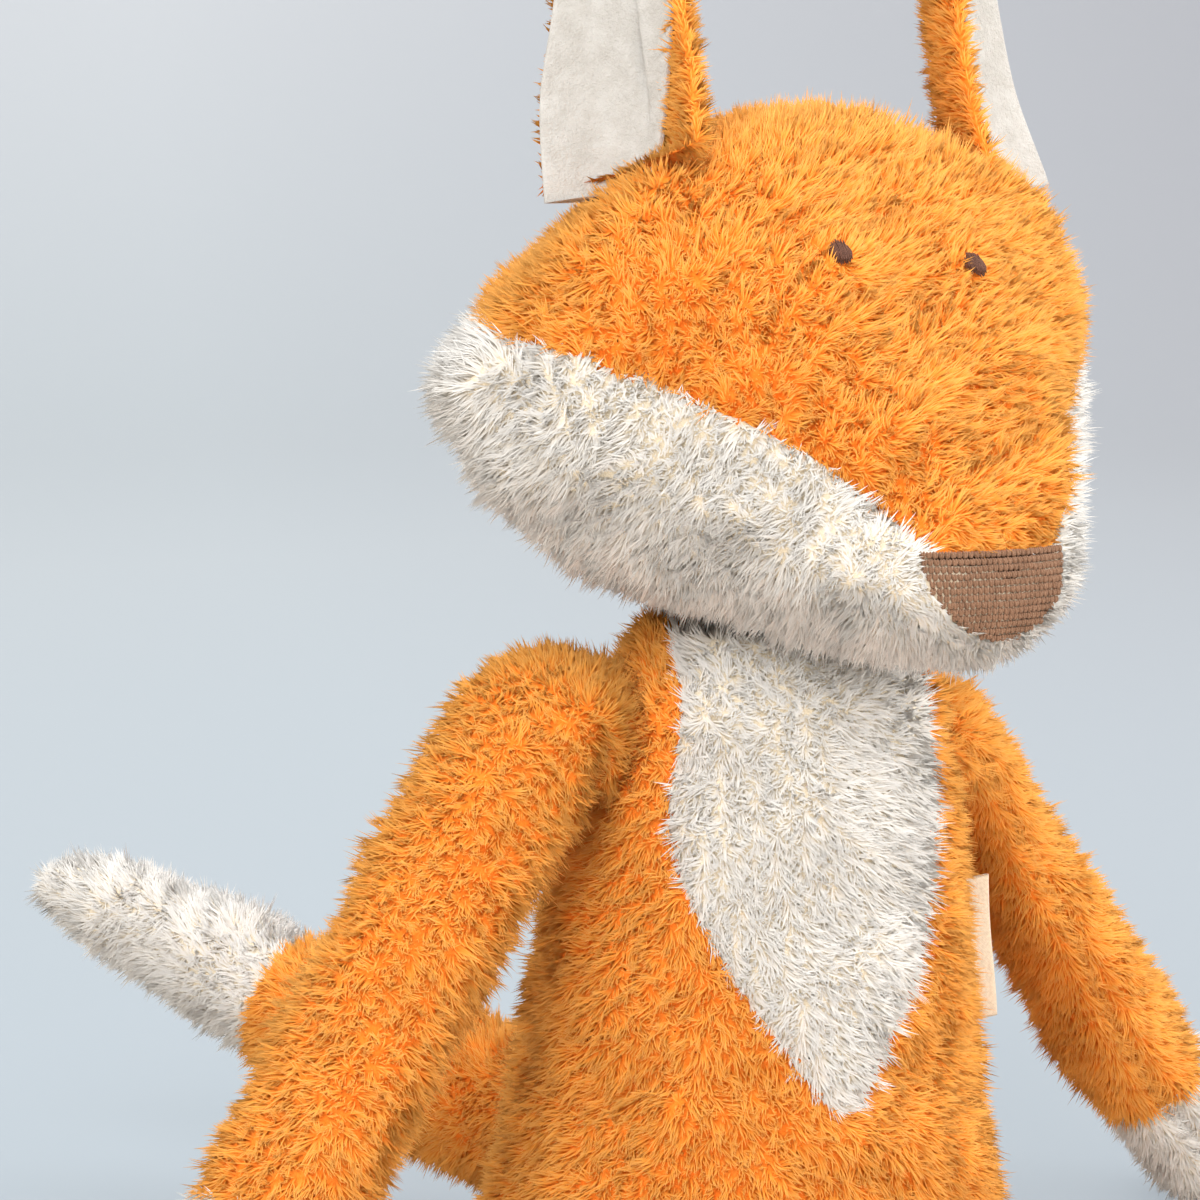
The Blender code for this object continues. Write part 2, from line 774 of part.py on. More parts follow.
def limb_form(path, rows, wide, thick, roll, sides, root_depth, domed_root):
    """A stuffed tube along a path, with an oval section that swells and a domed far end.

    Its root is a dome too, or runs straight on into what the limb is sewn to.
    """
    places = [row[0] for row in rows]
    points = [Vector(point) for point in curve_through(path, places)]
    end = Vector(curve_through(path, [1.0])[0])
    rings = []
    for n, (point, (_, swell)) in enumerate(zip(points, rows)):
        ahead = points[n + 1] if n + 1 < len(points) else end
        behind = points[n - 1] if n else 2 * point - ahead
        along = (ahead - behind).normalized()
        level = along.cross(Vector((0, 0, 1))).normalized()
        rise = level.cross(along).normalized()
        first = (level * math.cos(roll) + rise * math.sin(roll)) * wide / 2 * swell
        second = (rise * math.cos(roll) - level * math.sin(roll)) * thick / 2 * swell
        turns = [math.tau * m / sides for m in range(sides)]
        rings.append([point + first * math.cos(a) + second * math.sin(a) for a in turns])
    root, first_ring = points[0], rings[0]
    back = (points[0] - points[1]).normalized() * root_depth
    if domed_root:
        for n in range(1, LIMB_CAP_RINGS + 1):
            turn = math.pi / 2 * n / (LIMB_CAP_RINGS + 1)
            middle = root + back * math.sin(turn)
            rings.insert(0, [middle + (point - root) * math.cos(turn) for point in first_ring])
    else:
        rings.insert(0, [point + back for point in first_ring])
    return closed_mesh(rings, root + back, end)


def make_limb(name, end_name, path, size, root, materials, cutters):
    """A limb's cover in two colours round its stuffing, cut by what the limb meets."""
    length, wide, thick, end_length, swell_shares, roll, root_depth, domed_root = size
    hinge = pivot(f"{name}_pivot", root)
    path = [point - root for point in path]
    rows = limb_rows(length, swell_shares, thick / 2)

    def form(depth, sides):
        shell = limb_form(path, rows, wide, thick, roll, sides, root_depth, domed_root)
        return drawn_in(shell, depth) if depth else shell

    cover = object_of(f"{name}_cover", form(0, LIMB_SIDES), materials["orange plush"], hinge)
    tip = object_of(end_name, form(0, LIMB_SIDES), materials["white plush"], hinge)
    stuffing = object_of(
        f"{name}_stuffing", form(COVER_THICKNESS, LIMB_INNER_SIDES), materials["stuffing"], hinge
    )
    hollow = object_of(
        f"{name}_hollow", form(COVER_THICKNESS - SEAM_GAP, LIMB_INNER_SIDES), parent=hinge
    )
    place = 1 - end_length / length
    seam, ahead = (Vector(p) for p in curve_through(path, (place, place + 1 / LIMB_RINGS)))
    along = (ahead - seam).normalized()
    half_gap = along * SEAM_GAP / 2
    for thing in (cover, tip):
        cut(thing, hollow)
    cut(cover, half_space(f"{name}_end_side", seam - half_gap, along, length, hinge))
    cut(tip, half_space(f"{name}_root_side", seam + half_gap, -along, 2 * length, hinge))
    for cutter in cutters:
        cut(cover, cutter)
        cut(stuffing, cutter)
    return hinge, cover, tip


def make_arms(materials, floor):
    found = {}
    right = (RIGHT_SHOULDER_LEVEL, RIGHT_ARM_PATH_SHARES, RIGHT_ARM_SWELL_SHARES, RIGHT_ARM_ROLL)
    left = (LEFT_SHOULDER_LEVEL, LEFT_ARM_PATH_SHARES, LEFT_ARM_SWELL_SHARES, LEFT_ARM_ROLL)
    for name, end_name, side, (level, path_shares, swell_shares, roll) in (
        ("right_arm", "right_paw", -1, right),
        ("left_arm", "left_paw", 1, left),
    ):
        angle = 0.0 if side > 0 else math.pi
        shoulder = body_point(level, angle)
        outward = body_normal(level, angle)
        root = shoulder + outward * MOVING_GAP
        path = [
            shoulder + ARM_LENGTH * Vector((side * out, -forward, -down))
            for out, forward, down in path_shares
        ]
        # A flat that touches the body's side, so that the arm swings clear of it
        flat = half_space(f"{name}_flat", root, -outward, ARM_LENGTH)
        size = (
            ARM_LENGTH,
            ARM_WIDTH,
            ARM_THICKNESS,
            PAW_LENGTH,
            swell_shares,
            roll,
            ARM_WIDTH,
            False,
        )
        hinge, _, paw = make_limb(name, end_name, path, size, root, materials, [flat])
        cut(paw, floor)
        found[name] = (hinge, outward)
    return found


def make_legs(materials, floor, body_cover):
    """Each leg turns on a ball that sits in a dish of the body, at the front of the seat."""
    found = {}
    radius = LEG_THICKNESS / 2 * LEG_SWELL_SHARES[0][1]
    level = radius - SEAT_FLAT_DEPTH
    length = LEG_LENGTH - radius
    for name, end_name, side in (("right_leg", "right_foot", -1), ("left_leg", "left_foot", 1)):
        angle = math.pi / 2 - side * HIP_ANGLE
        outward = body_normal(level, angle)
        outward = Vector((outward.x, outward.y, 0)).normalized()
        hip = body_point(level, angle) + outward * (radius + MOVING_GAP - HIP_DISH_DEPTH)
        heading = Vector((side * math.sin(LEG_SPLAY), -math.cos(LEG_SPLAY), 0))
        path = []
        for share in even(LIMB_RINGS):
            under = LEG_THICKNESS / 2 * read_table(LEG_SWELL_SHARES, share)[1]
            lift = Vector((0, 0, under - SEAT_FLAT_DEPTH - hip.z))
            path.append(hip + heading * length * share + lift)
        cut(body_cover, ball(f"{name}_dish", hip, radius + MOVING_GAP))
        size = (
            length,
            LEG_THICKNESS,
            LEG_THICKNESS,
            FOOT_LENGTH,
            LEG_SWELL_SHARES,
            0.0,
            radius,
            True,
        )
        hinge, cover, foot = make_limb(name, end_name, path, size, hip, materials, [])
        for thing in (cover, foot):
            cut(thing, floor)
        found[name] = (hinge, heading.cross(Vector((0, 0, 1))))
    return found


def make_tail(materials):
    angle = -math.pi / 2
    seat = body_point(TAIL_ROOT_LEVEL, angle)
    outward = body_normal(TAIL_ROOT_LEVEL, angle)
    root = seat + outward * MOVING_GAP
    heading = Vector((-math.sin(TAIL_HEADING), math.cos(TAIL_HEADING), 0))
    path = [
        seat + TAIL_LENGTH * (heading * along + Vector((0, 0, up))) for along, up in TAIL_PATH_SHARES
    ]
    flat = half_space("tail_flat", root, -outward, TAIL_LENGTH)
    size = (
        TAIL_LENGTH,
        TAIL_WIDTH,
        TAIL_WIDTH,
        TAIL_TIP_LENGTH,
        TAIL_SWELL_SHARES,
        0.0,
        TAIL_WIDTH,
        False,
    )
    hinge, _, _ = make_limb("tail", "tail_tip", path, size, root, materials, [flat])
    return hinge, outward


def main():
    clear_scene()
    materials = {
        "orange plush": fabric("orange plush", (0.90, 0.33, 0.07)),
        "white plush": fabric("white plush", (0.80, 0.77, 0.69)),
        "lining felt": fabric("lining felt", (0.80, 0.77, 0.70)),
        "nose cloth": fabric("nose cloth", (0.25, 0.13, 0.08)),
        "eye thread": fabric("eye thread", (0.09, 0.03, 0.02), 0.6),
        "label cloth": fabric("label cloth", (0.86, 0.68, 0.49), 0.8),
        "stuffing": fabric("stuffing", (0.85, 0.84, 0.80)),
    }
    floor = half_space("floor", (0, 0, 0), (0, 0, -1), 4 * BODY_HEIGHT)
    body_cover = make_body(materials, floor)
    joints = {"label": make_label(materials)}
    neck = make_head(materials)
    joints["head"] = (neck, Vector((0, 0, 1)))
    joints.update(make_ears(neck, materials))
    joints.update(make_arms(materials, floor))
    joints.update(make_legs(materials, floor, body_cover))
    joints["tail"] = make_tail(materials)

    # The pieces have materials, and the shapes that cut them have none
    shapes = [thing for thing in bpy.data.objects if thing.type == "MESH"]
    pieces = [thing for thing in shapes if thing.data.materials]
    bpy.context.view_layer.update()
    for thing in pieces:
        settle(thing)
    for thing in shapes:
        if thing not in pieces:
            bpy.data.objects.remove(thing, do_unlink=True)

    for name, (hinge, axis) in joints.items():
        if hinge.parent:
            axis = hinge.parent.matrix_world.to_3x3() @ axis
        place = hinge.matrix_world.translation
        print("joint", name, [round(v, 5) for v in place], [round(v, 5) for v in axis.normalized()])


main()
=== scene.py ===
"""Dresses the plush fox in its furred covers, knitted nose, stitched eyes, felt-lined ears and label.

Metres, +Z up. The fox faces -Y, its own left is +X, and every piece lies where its solids lie.
"""

import json
import math

import bmesh
import bpy
import numpy as np
from mathutils import Matrix, Vector
from mathutils.bvhtree import BVHTree


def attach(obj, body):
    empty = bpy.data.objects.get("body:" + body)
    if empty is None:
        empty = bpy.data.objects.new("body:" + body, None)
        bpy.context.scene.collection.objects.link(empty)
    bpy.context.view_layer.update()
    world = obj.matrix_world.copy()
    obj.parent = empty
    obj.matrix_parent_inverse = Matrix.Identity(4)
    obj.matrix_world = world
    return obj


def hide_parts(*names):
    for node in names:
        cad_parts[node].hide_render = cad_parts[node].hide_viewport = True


bl_info = {
    "name": "Plush fox",
    "version": (1, 0, 0),
    "blender": (4, 5, 0),
    "location": "View3D > Sidebar > Plush fox",
    "description": "Dresses a sitting plush fox in deep pile, knit, stitching and felt",
    "category": "Add Mesh",
}

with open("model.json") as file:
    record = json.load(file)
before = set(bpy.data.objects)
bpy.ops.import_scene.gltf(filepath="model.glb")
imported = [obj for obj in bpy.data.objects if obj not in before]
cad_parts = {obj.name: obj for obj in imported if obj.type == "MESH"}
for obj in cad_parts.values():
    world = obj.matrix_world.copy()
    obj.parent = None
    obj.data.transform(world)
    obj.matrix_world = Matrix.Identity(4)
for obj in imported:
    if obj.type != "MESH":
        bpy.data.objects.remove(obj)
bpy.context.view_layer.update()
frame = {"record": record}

# Forms of the stuffed parts, as the solids have them

BODY_HEIGHT, BODY_WIDTH, BODY_DEPTH = 0.172, 0.133, 0.110
BODY_SECTION_SHARES = (
    (-0.003, 0.66, 0.66),
    (0.012, 0.82, 0.84),
    (0.060, 0.925, 0.945),
    (0.150, 0.965, 1.00),
    (0.280, 0.915, 1.00),
    (0.400, 0.855, 0.955),
    (0.520, 0.815, 0.90),
    (0.640, 0.775, 0.82),
    (0.760, 0.715, 0.75),
    (0.880, 0.64, 0.64),
    (0.960, 0.53, 0.54),
    (1.030, 0.44, 0.47),
)
NECK_LEAN = Vector((0.0084, -0.0019, 0.0))
BIB_HEIGHT, BIB_WIDTH, BIB_TIP_LEVEL, BIB_TIP_LEAN, BIB_SHIFT = 0.108, 0.076, 0.065, 0.003, 0.003
BIB_OUTLINE_SHARES = (
    (0.00, 0.00),
    (0.015, 0.11),
    (0.10, 0.29),
    (0.29, 0.67),
    (0.46, 0.88),
    (0.60, 0.945),
    (0.72, 0.90),
    (0.86, 0.81),
    (1.10, 0.70),
)

HEAD_WIDTH, HEAD_HEIGHT, HEAD_REACH, HEAD_BACK = 0.185, 0.123, 0.129, 0.050
HEAD_TURN, HEAD_TILT = math.radians(14), math.radians(2)
HEAD_SECTION_SHARES = (
    (0.035, 0.466, 0.48, 0.742, 0.232, 1.35),
    (0.100, 0.730, 0.47, 0.875, 0.091, 1.30),
    (0.200, 0.933, 0.45, 0.944, 0.010, 1.30),
    (0.330, 1.000, 0.435, 0.972, -0.028, 1.40),
    (0.460, 0.932, 0.40, 0.972, -0.038, 2.10),
    (0.580, 0.796, 0.36, 0.911, -0.046, 3.00),
    (0.690, 0.639, 0.29, 0.755, -0.049, 3.10),
    (0.790, 0.490, 0.21, 0.574, -0.046, 2.90),
    (0.880, 0.376, 0.150, 0.401, -0.041, 2.60),
    (0.945, 0.288, 0.115, 0.272, -0.021, 2.30),
    (0.985, 0.178, 0.095, 0.169, 0.022, 2.00),
)
HEAD_UNDER_SQUARENESS = 1.6
HEAD_BACK_POLE_LEVEL_SHARE, HEAD_FRONT_POLE_LEVEL_SHARE = 0.49, 0.08
CHEEK_SEAM_SHARES = (
    (-0.75, 0.64),
    (-0.30, 0.61),
    (-0.08, 0.575),
    (0.10, 0.533),
    (0.24, 0.478),
    (0.346, 0.413),
    (0.450, 0.339),
    (0.535, 0.246),
    (0.573, 0.193),
    (0.720, 0.193),
)
BACK_SEAM_PLACE = 0.034
NOSE_WIDTH, NOSE_HEIGHT, NOSE_LEVEL, FACE_SIDE = 0.0425, 0.0205, 0.0235, -0.002
EYE_DIAMETER, EYE_SPACING, EYE_PLACE, EYE_SLANT, EYE_DOME = 0.0062, 0.040, 0.0425, 0.0008, 0.0007

ARM_LENGTH, ARM_WIDTH, ARM_THICKNESS, PAW_LENGTH = 0.192, 0.0395, 0.0325, 0.047
RIGHT_SHOULDER_LEVEL, LEFT_SHOULDER_LEVEL = 0.147, 0.142
RIGHT_ARM_PATH_SHARES = (
    (0.00, 0.00, 0.00),
    (0.094, 0.038, -0.018),
    (0.192, 0.073, 0.085),
    (0.316, 0.112, 0.252),
    (0.456, 0.153, 0.465),
    (0.592, 0.194, 0.702),
)
LEFT_ARM_PATH_SHARES = (
    (0.00, 0.00, 0.00),
    (0.096, -0.072, 0.080),
    (0.219, -0.126, 0.234),
    (0.334, -0.160, 0.400),
    (0.463, -0.176, 0.562),
    (0.602, -0.190, 0.722),
)
RIGHT_ARM_SWELL_SHARES = ((0.0, 0.94), (0.22, 1.04), (0.55, 0.97), (0.76, 0.94), (0.90, 1.0), (1.0, 1.0))
LEFT_ARM_SWELL_SHARES = (
    (0.0, 0.84),
    (0.14, 0.78),
    (0.30, 0.80),
    (0.42, 0.88),
    (0.54, 1.0),
    (0.66, 1.07),
    (0.78, 1.0),
    (0.90, 1.0),
    (1.0, 1.0),
)
RIGHT_ARM_ROLL, LEFT_ARM_ROLL = math.radians(49), math.radians(-29)

LEG_LENGTH, LEG_THICKNESS, FOOT_LENGTH = 0.188, 0.039, 0.049
LEG_SPLAY, HIP_ANGLE, HIP_DISH_DEPTH = math.radians(15), math.radians(33), 0.004
LEG_SWELL_SHARES = ((0.0, 0.90), (0.15, 0.90), (0.40, 0.97), (0.74, 0.93), (0.88, 1.0), (1.0, 1.0))
SEAT_FLAT_DEPTH, MOVING_GAP = 0.0005, 0.0006

TAIL_LENGTH, TAIL_WIDTH, TAIL_TIP_LENGTH, TAIL_ROOT_LEVEL = 0.190, 0.042, 0.076, 0.030
TAIL_HEADING = math.radians(45)
TAIL_PATH_SHARES = ((0.0, 0.0), (0.20, 0.02), (0.39, 0.075), (0.57, 0.155), (0.75, 0.23), (0.93, 0.29))
TAIL_SWELL_SHARES = ((0.0, 0.90), (0.20, 0.97), (0.42, 1.0), (0.60, 0.90), (0.80, 0.70), (1.0, 0.50))

# A limb's root goes on inside the body, by rings at these depths and shares of its size
HIDDEN_ROOT_DEPTH, HIDDEN_ROOT_RINGS = 0.013, ((0.012, 0.7), (0.006, 0.88))

# Rings along and points around the cloth under the pile
BODY_MESH, HEAD_MESH, LIMB_MESH = (84, 132), (96, 144), (64, 44)

# How deep and wide the cloth is drawn in at a seam, and how far it swells between seams
BIB_SEAM_DEPTH, PANEL_SEAM_DEPTH, BACK_SEAM_DEPTH, SEAM_REACH = 0.0014, 0.0012, 0.0010, 0.0022
SLEEVE_SEAM_DEPTH, SLEEVE_SEAM_WIDTH_SHARE, SLEEVE_PARTING_SHARE = 0.0022, 0.022, 0.035
SWELL_HEIGHT = 0.0008
BELLY_CREASES, BELLY_CREASE_REACH = ((0.086, 0.0008), (0.069, 0.0017), (0.052, 0.0011)), 0.004

# A tuft's points, the columns of tint in the map of its finish, and the most tufts that a panel grows
TUFT_POINTS, TINT_COLUMNS, MOST_TUFTS = 4, 16, 64000
# The least height over the floor of the cloth and of the tufts
CLOTH_CLEARANCE, TUFT_CLEARANCE = 0.0008, 0.0004
# What keeps a length or an area that is divided by off zero
TINY = 1e-6
# What stands for far outside an outline, and how far back the bib and the nose reach
FAR_OUTSIDE, BIB_BACK_LIMIT, NOSE_BACK_LIMIT = -0.02, -0.004, -0.045
# Where the body's pile is shared between a front and a back panel
SIDE_LINE = 0.004


def through(rows, places):
    """Rows of a table at places from 0 to 1 along it, on a smooth curve through all of them."""
    rows = np.array(rows, float)
    last = len(rows) - 1
    reach = np.clip(np.atleast_1d(places), 0.0, 1.0) * last
    step = np.minimum(reach.astype(int), last - 1)
    t = (reach - step)[:, None]
    here, there = rows[step], rows[step + 1]
    before = np.where(step[:, None] > 0, rows[np.maximum(step - 1, 0)], 2 * here - there)
    after = np.where(step[:, None] + 2 <= last, rows[np.minimum(step + 2, last)], 2 * there - here)
    return 0.5 * (
        2 * here
        + (there - before) * t
        + (2 * before - 5 * here + 4 * there - after) * t**2
        + (3 * here - before - 3 * there + after) * t**3
    )


def read_table(rows, value):
    """A table's row at a value of its first column."""
    rows = np.array(rows, float)
    return [float(np.interp(value, rows[:, 0], rows[:, n])) for n in range(rows.shape[1])]


# Shader maths


class Socket:
    """A node's output that takes part in sums, each of which adds one Math node."""

    def __init__(self, tree, output):
        self.tree, self.output = tree, output

    def _sum(self, operation, *values):
        return self.tree.node("ShaderNodeMath", {"operation": operation}, list(enumerate(values)))

    def __add__(self, other):
        return self._sum("ADD", self, other)

    def __radd__(self, other):
        return self._sum("ADD", other, self)

    def __sub__(self, other):
        return self._sum("SUBTRACT", self, other)

    def __rsub__(self, other):
        return self._sum("SUBTRACT", other, self)

    def __mul__(self, other):
        return self._sum("MULTIPLY", self, other)

    def __rmul__(self, other):
        return self._sum("MULTIPLY", other, self)

    def __truediv__(self, other):
        return self._sum("DIVIDE", self, other)

    def sine(self):
        return self._sum("SINE", self)

    def absolute(self):
        return self._sum("ABSOLUTE", self)

    def floored(self):
        return self._sum("FLOOR", self)

    def clamped(self):
        return self._sum("MINIMUM", self._sum("MAXIMUM", self, 0.0), 1.0)


class Tree:
    """A node tree, to which each call of node adds one."""

    def __init__(self, tree):
        self.tree = tree

    def node(self, kind, settings=None, values=(), output=0):
        """Any node, with its settings set first and then its sockets, by name or number."""
        made = self.tree.nodes.new(kind)
        for key, value in (settings or {}).items():
            if key == "stops":
                ramp = made.color_ramp
                while len(ramp.elements) < len(value):
                    ramp.elements.new(1.0)
                for stop, (place, colour) in zip(ramp.elements, value):
                    stop.position, stop.color = place, (*colour, 1)
            else:
                setattr(made, key, value)
        for key, value in dict(values).items():
            if isinstance(value, Socket):
                self.tree.links.new(value.output, made.inputs[key])
            elif isinstance(value, tuple) and len(value) == 3 and made.inputs[key].type == "RGBA":
                made.inputs[key].default_value = (*value, 1)
            else:
                made.inputs[key].default_value = value
        return Socket(self, made.outputs[output])

    def axes(self, vector):
        made = self.tree.nodes.new("ShaderNodeSeparateXYZ")
        self.tree.links.new(vector.output, made.inputs[0])
        return [Socket(self, output) for output in made.outputs]


class Finish(Tree):
    """A material and the nodes that give it its look."""

    def __init__(self, name, roughness=0.9, sheen=0.0, sheen_tint=(1, 1, 1), specular=0.25):
        self.material = bpy.data.materials.new(name)
        self.material.use_nodes = True
        super().__init__(self.material.node_tree)
        self.shader = self.tree.nodes["Principled BSDF"]
        for label, value in (
            ("Roughness", roughness),
            ("Specular IOR Level", specular),
            ("Sheen Weight", sheen),
            ("Sheen Roughness", 0.6),
            ("Sheen Tint", (*sheen_tint, 1)),
        ):
            self.shader.inputs[label].default_value = value

    def object_place(self):
        return self.node("ShaderNodeTexCoord", output="Object")

    def noise(self, scale, detail=2.0, roughness=0.5):
        values = {"Vector": self.object_place(), "Scale": scale, "Detail": detail, "Roughness": roughness}
        return self.node("ShaderNodeTexNoise", {}, values)

    def ramp(self, factor, *stops):
        return self.node("ShaderNodeValToRGB", {"stops": stops}, {0: factor})

    def mixed(self, factor, first, second):
        return self.node("ShaderNodeMix", {"data_type": "RGBA"}, {0: factor, 6: first, 7: second}, 2)

    def colour(self, value):
        self.tree.links.new(value.output, self.shader.inputs["Base Color"])

    def bump(self, height, depth, strength=1.0):
        """A bump whose full height is the given depth in metres."""
        values = {"Height": height, "Distance": depth, "Strength": strength}
        normal = self.node("ShaderNodeBump", {}, values)
        self.tree.links.new(normal.output, self.shader.inputs["Normal"])


FINISHES = {}


def finish_of(name):
    """Each finish is made once, when the first piece needs it."""
    if name not in FINISHES:
        FINISHES[name] = MAKERS[name]().material
    return FINISHES[name]


def pile_finish(name, root, middle, tip, fleck):
    """Fur tufts: deep colour at the root, lighter towards the tip, with fine strands along them.

    The tufts' own map holds a tint in columns, strands across each column, and root to tip upwards.
    """
    made = Finish(name, roughness=0.9, sheen=0.16, sheen_tint=tip, specular=0.03)
    across, along, _ = made.axes(made.node("ShaderNodeUVMap", {"uv_map": "OFBake"}))
    column = (across * TINT_COLUMNS).floored() / (TINT_COLUMNS - 1)
    fine = made.node("ShaderNodeCombineXYZ", {}, {0: across * 160.0, 1: along * 2.0})
    values = {"Vector": fine, "Scale": 1.0, "Detail": 1.0}
    strands = made.node("ShaderNodeTexNoise", {"noise_dimensions": "2D"}, values)
    stops = (0.0, root), (0.5, middle), (1.0, tip)
    body = made.ramp(along, *stops)
    shade = made.mixed(((strands - 0.5) * 2.4 + 0.35).clamped(), body, fleck)
    softened = made.mixed(0.34, body, shade)
    made.colour(made.mixed((column - 0.5).absolute() * 0.34, softened, made.ramp(column, *stops)))
    return made


def cloth_finish(name, dark, light):
    """The backing of the pile, which shows only in partings, creases and at the seams."""
    made = Finish(name, roughness=0.95, sheen=0.2, sheen_tint=light)
    patches = made.noise(260.0, 3.0)
    made.colour(made.ramp(patches, (0.3, dark), (0.7, light)))
    made.bump(made.noise(900.0, 2.0), 0.0004)
    return made


# Painted shade at the roots, deep and warm as light that scatters in a deep pile, and a painted highlight at
# the orange tip
ORANGE_ROOT_SHADE, ORANGE_MIDDLE, ORANGE_TIP_HIGHLIGHT = (1.0, 0.21, 0.012), (1.0, 0.40, 0.066), (1.0, 0.52, 0.155)
WHITE_ROOT_SHADE, WHITE_MIDDLE, WHITE_TIP = (0.91, 0.82, 0.69), (0.875, 0.85, 0.81), (0.875, 0.868, 0.85)


def orange_pile():
    return pile_finish("orange pile", ORANGE_ROOT_SHADE, ORANGE_MIDDLE, ORANGE_TIP_HIGHLIGHT, (1.0, 0.46, 0.11))


def white_pile():
    return pile_finish("white pile", WHITE_ROOT_SHADE, WHITE_MIDDLE, WHITE_TIP, (0.90, 0.88, 0.83))


# Both backings are painted shade: darker and warmer than the pile above them, as the gaps between tufts look
def orange_cloth():
    return cloth_finish("orange backing cloth", (1.0, 0.26, 0.025), (1.0, 0.32, 0.045))


def white_cloth():
    return cloth_finish("white backing cloth", (0.86, 0.73, 0.54), (0.92, 0.82, 0.65))


def lining_felt():
    """Short cream nap: mottled, with fine hairs and a soft edge of light."""
    made = Finish("lining felt", roughness=0.95, sheen=0.25, sheen_tint=(1.0, 0.98, 0.93), specular=0.1)
    hairs = made.noise(2600.0, 2.0, roughness=0.7)
    patches = made.noise(220.0, 3.0)
    stops = (0.25, (0.45, 0.43, 0.40)), (0.6, (0.54, 0.525, 0.50)), (0.85, (0.60, 0.59, 0.57))
    tone = made.ramp(patches, *stops)
    made.colour(made.mixed(((hairs - 0.5) * 1.6 + 0.25).clamped() * 0.5, tone, (0.72, 0.71, 0.68)))
    clumps = made.noise(900.0, 3.0)
    made.bump(hairs * 0.6 + clumps, 0.0007, 0.9)
    return made


def nose_yarn():
    """Brown wool yarn with lighter fuzz on top of each stitch and dark hollows between."""
    made = Finish("nose cloth", roughness=0.92, sheen=0.45, sheen_tint=(0.85, 0.62, 0.48), specular=0.1)
    fuzz = made.noise(3200.0, 3.0, roughness=0.7)
    patches = made.noise(300.0, 2.0)
    tone = made.ramp(patches, (0.3, (0.190, 0.094, 0.052)), (0.7, (0.265, 0.138, 0.080)))
    made.colour(made.mixed(((fuzz - 0.45) * 2.2).clamped() * 0.6, tone, (0.42, 0.25, 0.16)))
    made.bump(fuzz, 0.0005, 0.9)
    return made


# Painted shade: the cap that shows between the knit's stitches is near black-brown
def nose_base():
    made = Finish("nose backing", roughness=0.95, specular=0.1)
    fuzz = made.noise(2400.0, 2.0)
    made.colour(made.ramp(fuzz, (0.3, (0.060, 0.028, 0.016)), (0.7, (0.125, 0.062, 0.036))))
    made.bump(fuzz, 0.0004)
    return made


def eye_thread():
    """Dark brown embroidery thread with a little gloss along its twist."""
    made = Finish("eye thread", roughness=0.5, sheen=0.2, sheen_tint=(0.7, 0.45, 0.35), specular=0.4)
    twist = made.noise(2800.0, 2.0)
    made.colour(made.ramp(twist, (0.3, (0.050, 0.018, 0.011)), (0.75, (0.150, 0.062, 0.040))))
    made.bump(twist, 0.0002, 0.8)
    return made


def label_cloth():
    """Plain weave: warp and weft cross at a third of a millimetre."""
    made = Finish("label cloth", roughness=0.85, sheen=0.2, sheen_tint=(1.0, 0.9, 0.78), specular=0.2)
    across, along, _ = made.axes(made.node("ShaderNodeUVMap", {"uv_map": "Weave"}))
    warp, weft = (across * 190.0).sine(), (along * 190.0).sine()
    weave = warp * weft
    fuzz = made.noise(1500.0, 2.0)
    tone = made.ramp(fuzz, (0.3, (0.70, 0.54, 0.38)), (0.7, (0.86, 0.72, 0.55)))
    made.colour(made.mixed((weave * 0.5 + 0.5) * 0.35, tone, (0.93, 0.84, 0.70)))
    made.bump(weave * 0.5 + fuzz * 0.4, 0.0003, 0.8)
    return made


MAKERS = {
    "lining felt": lining_felt,
    "nose cloth": nose_yarn,
    "nose backing": nose_base,
    "eye thread": eye_thread,
    "label cloth": label_cloth,
    "orange pile": orange_pile,
    "white pile": white_pile,
    "orange cloth": orange_cloth,
    "white cloth": white_cloth,
}


# Meshes


def object_of(name, data):
    piece = bpy.data.objects.new(name, data)
    bpy.context.scene.collection.objects.link(piece)
    return piece


def grid_mesh(name, rings, first_pole=None, last_pole=None):
    """A smooth closed shell through rings of points, with a fan to a pole at each end."""
    count, sides = rings.shape[:2]
    points = rings.reshape(-1, 3).tolist()
    faces = []
    for n in range(count - 1):
        for m in range(sides):
            k = (m + 1) % sides
            faces.append((n * sides + m, n * sides + k, (n + 1) * sides + k, (n + 1) * sides + m))
    for pole, n in ((first_pole, 0), (last_pole, count - 1)):
        if pole is None:
            continue
        points.append(list(pole))
        for m in range(sides):
            faces.append((len(points) - 1, n * sides + m, n * sides + (m + 1) % sides))
    mesh = bpy.data.meshes.new(name)
    mesh.from_pydata(points, [], faces)
    shell = bmesh.new()
    shell.from_mesh(mesh)
    bmesh.ops.recalc_face_normals(shell, faces=shell.faces)
    shell.to_mesh(mesh)
    shell.free()
    mesh.shade_smooth()
    return mesh


def read_all(data, key, width=3, kind=float):
    """One value of every item of a mesh, as rows of numbers."""
    found = np.empty(len(data) * width, kind)
    data.foreach_get(key, found)
    return found.reshape(-1, width)


def write_all(data, key, values):
    data.foreach_set(key, np.asarray(values, np.float32).ravel())


def points_of(mesh):
    return read_all(mesh.vertices, "co")


def normals_of(mesh):
    return read_all(mesh.vertices, "normal")


def move_points(mesh, points):
    write_all(mesh.vertices, "co", points)
    mesh.update()


def put_attribute(mesh, name, values):
    kind, key = ("FLOAT_VECTOR", "vector") if np.ndim(values) == 2 else ("FLOAT", "value")
    write_all(mesh.attributes.new(name, kind, "POINT").data, key, values)


def drop_attributes(mesh, *names):
    for name in names:
        layer = mesh.attributes.get(name)
        if layer:
            mesh.attributes.remove(layer)


def unit(vectors):
    return vectors / np.linalg.norm(vectors, axis=-1, keepdims=True)


def bell(value, reach):
    """One at zero, and falling away over the reach."""
    return np.exp(-((value / reach) ** 2))


def face_middles(mesh, values):
    return [float(np.mean([values[v] for v in face.vertices])) for face in mesh.polygons]


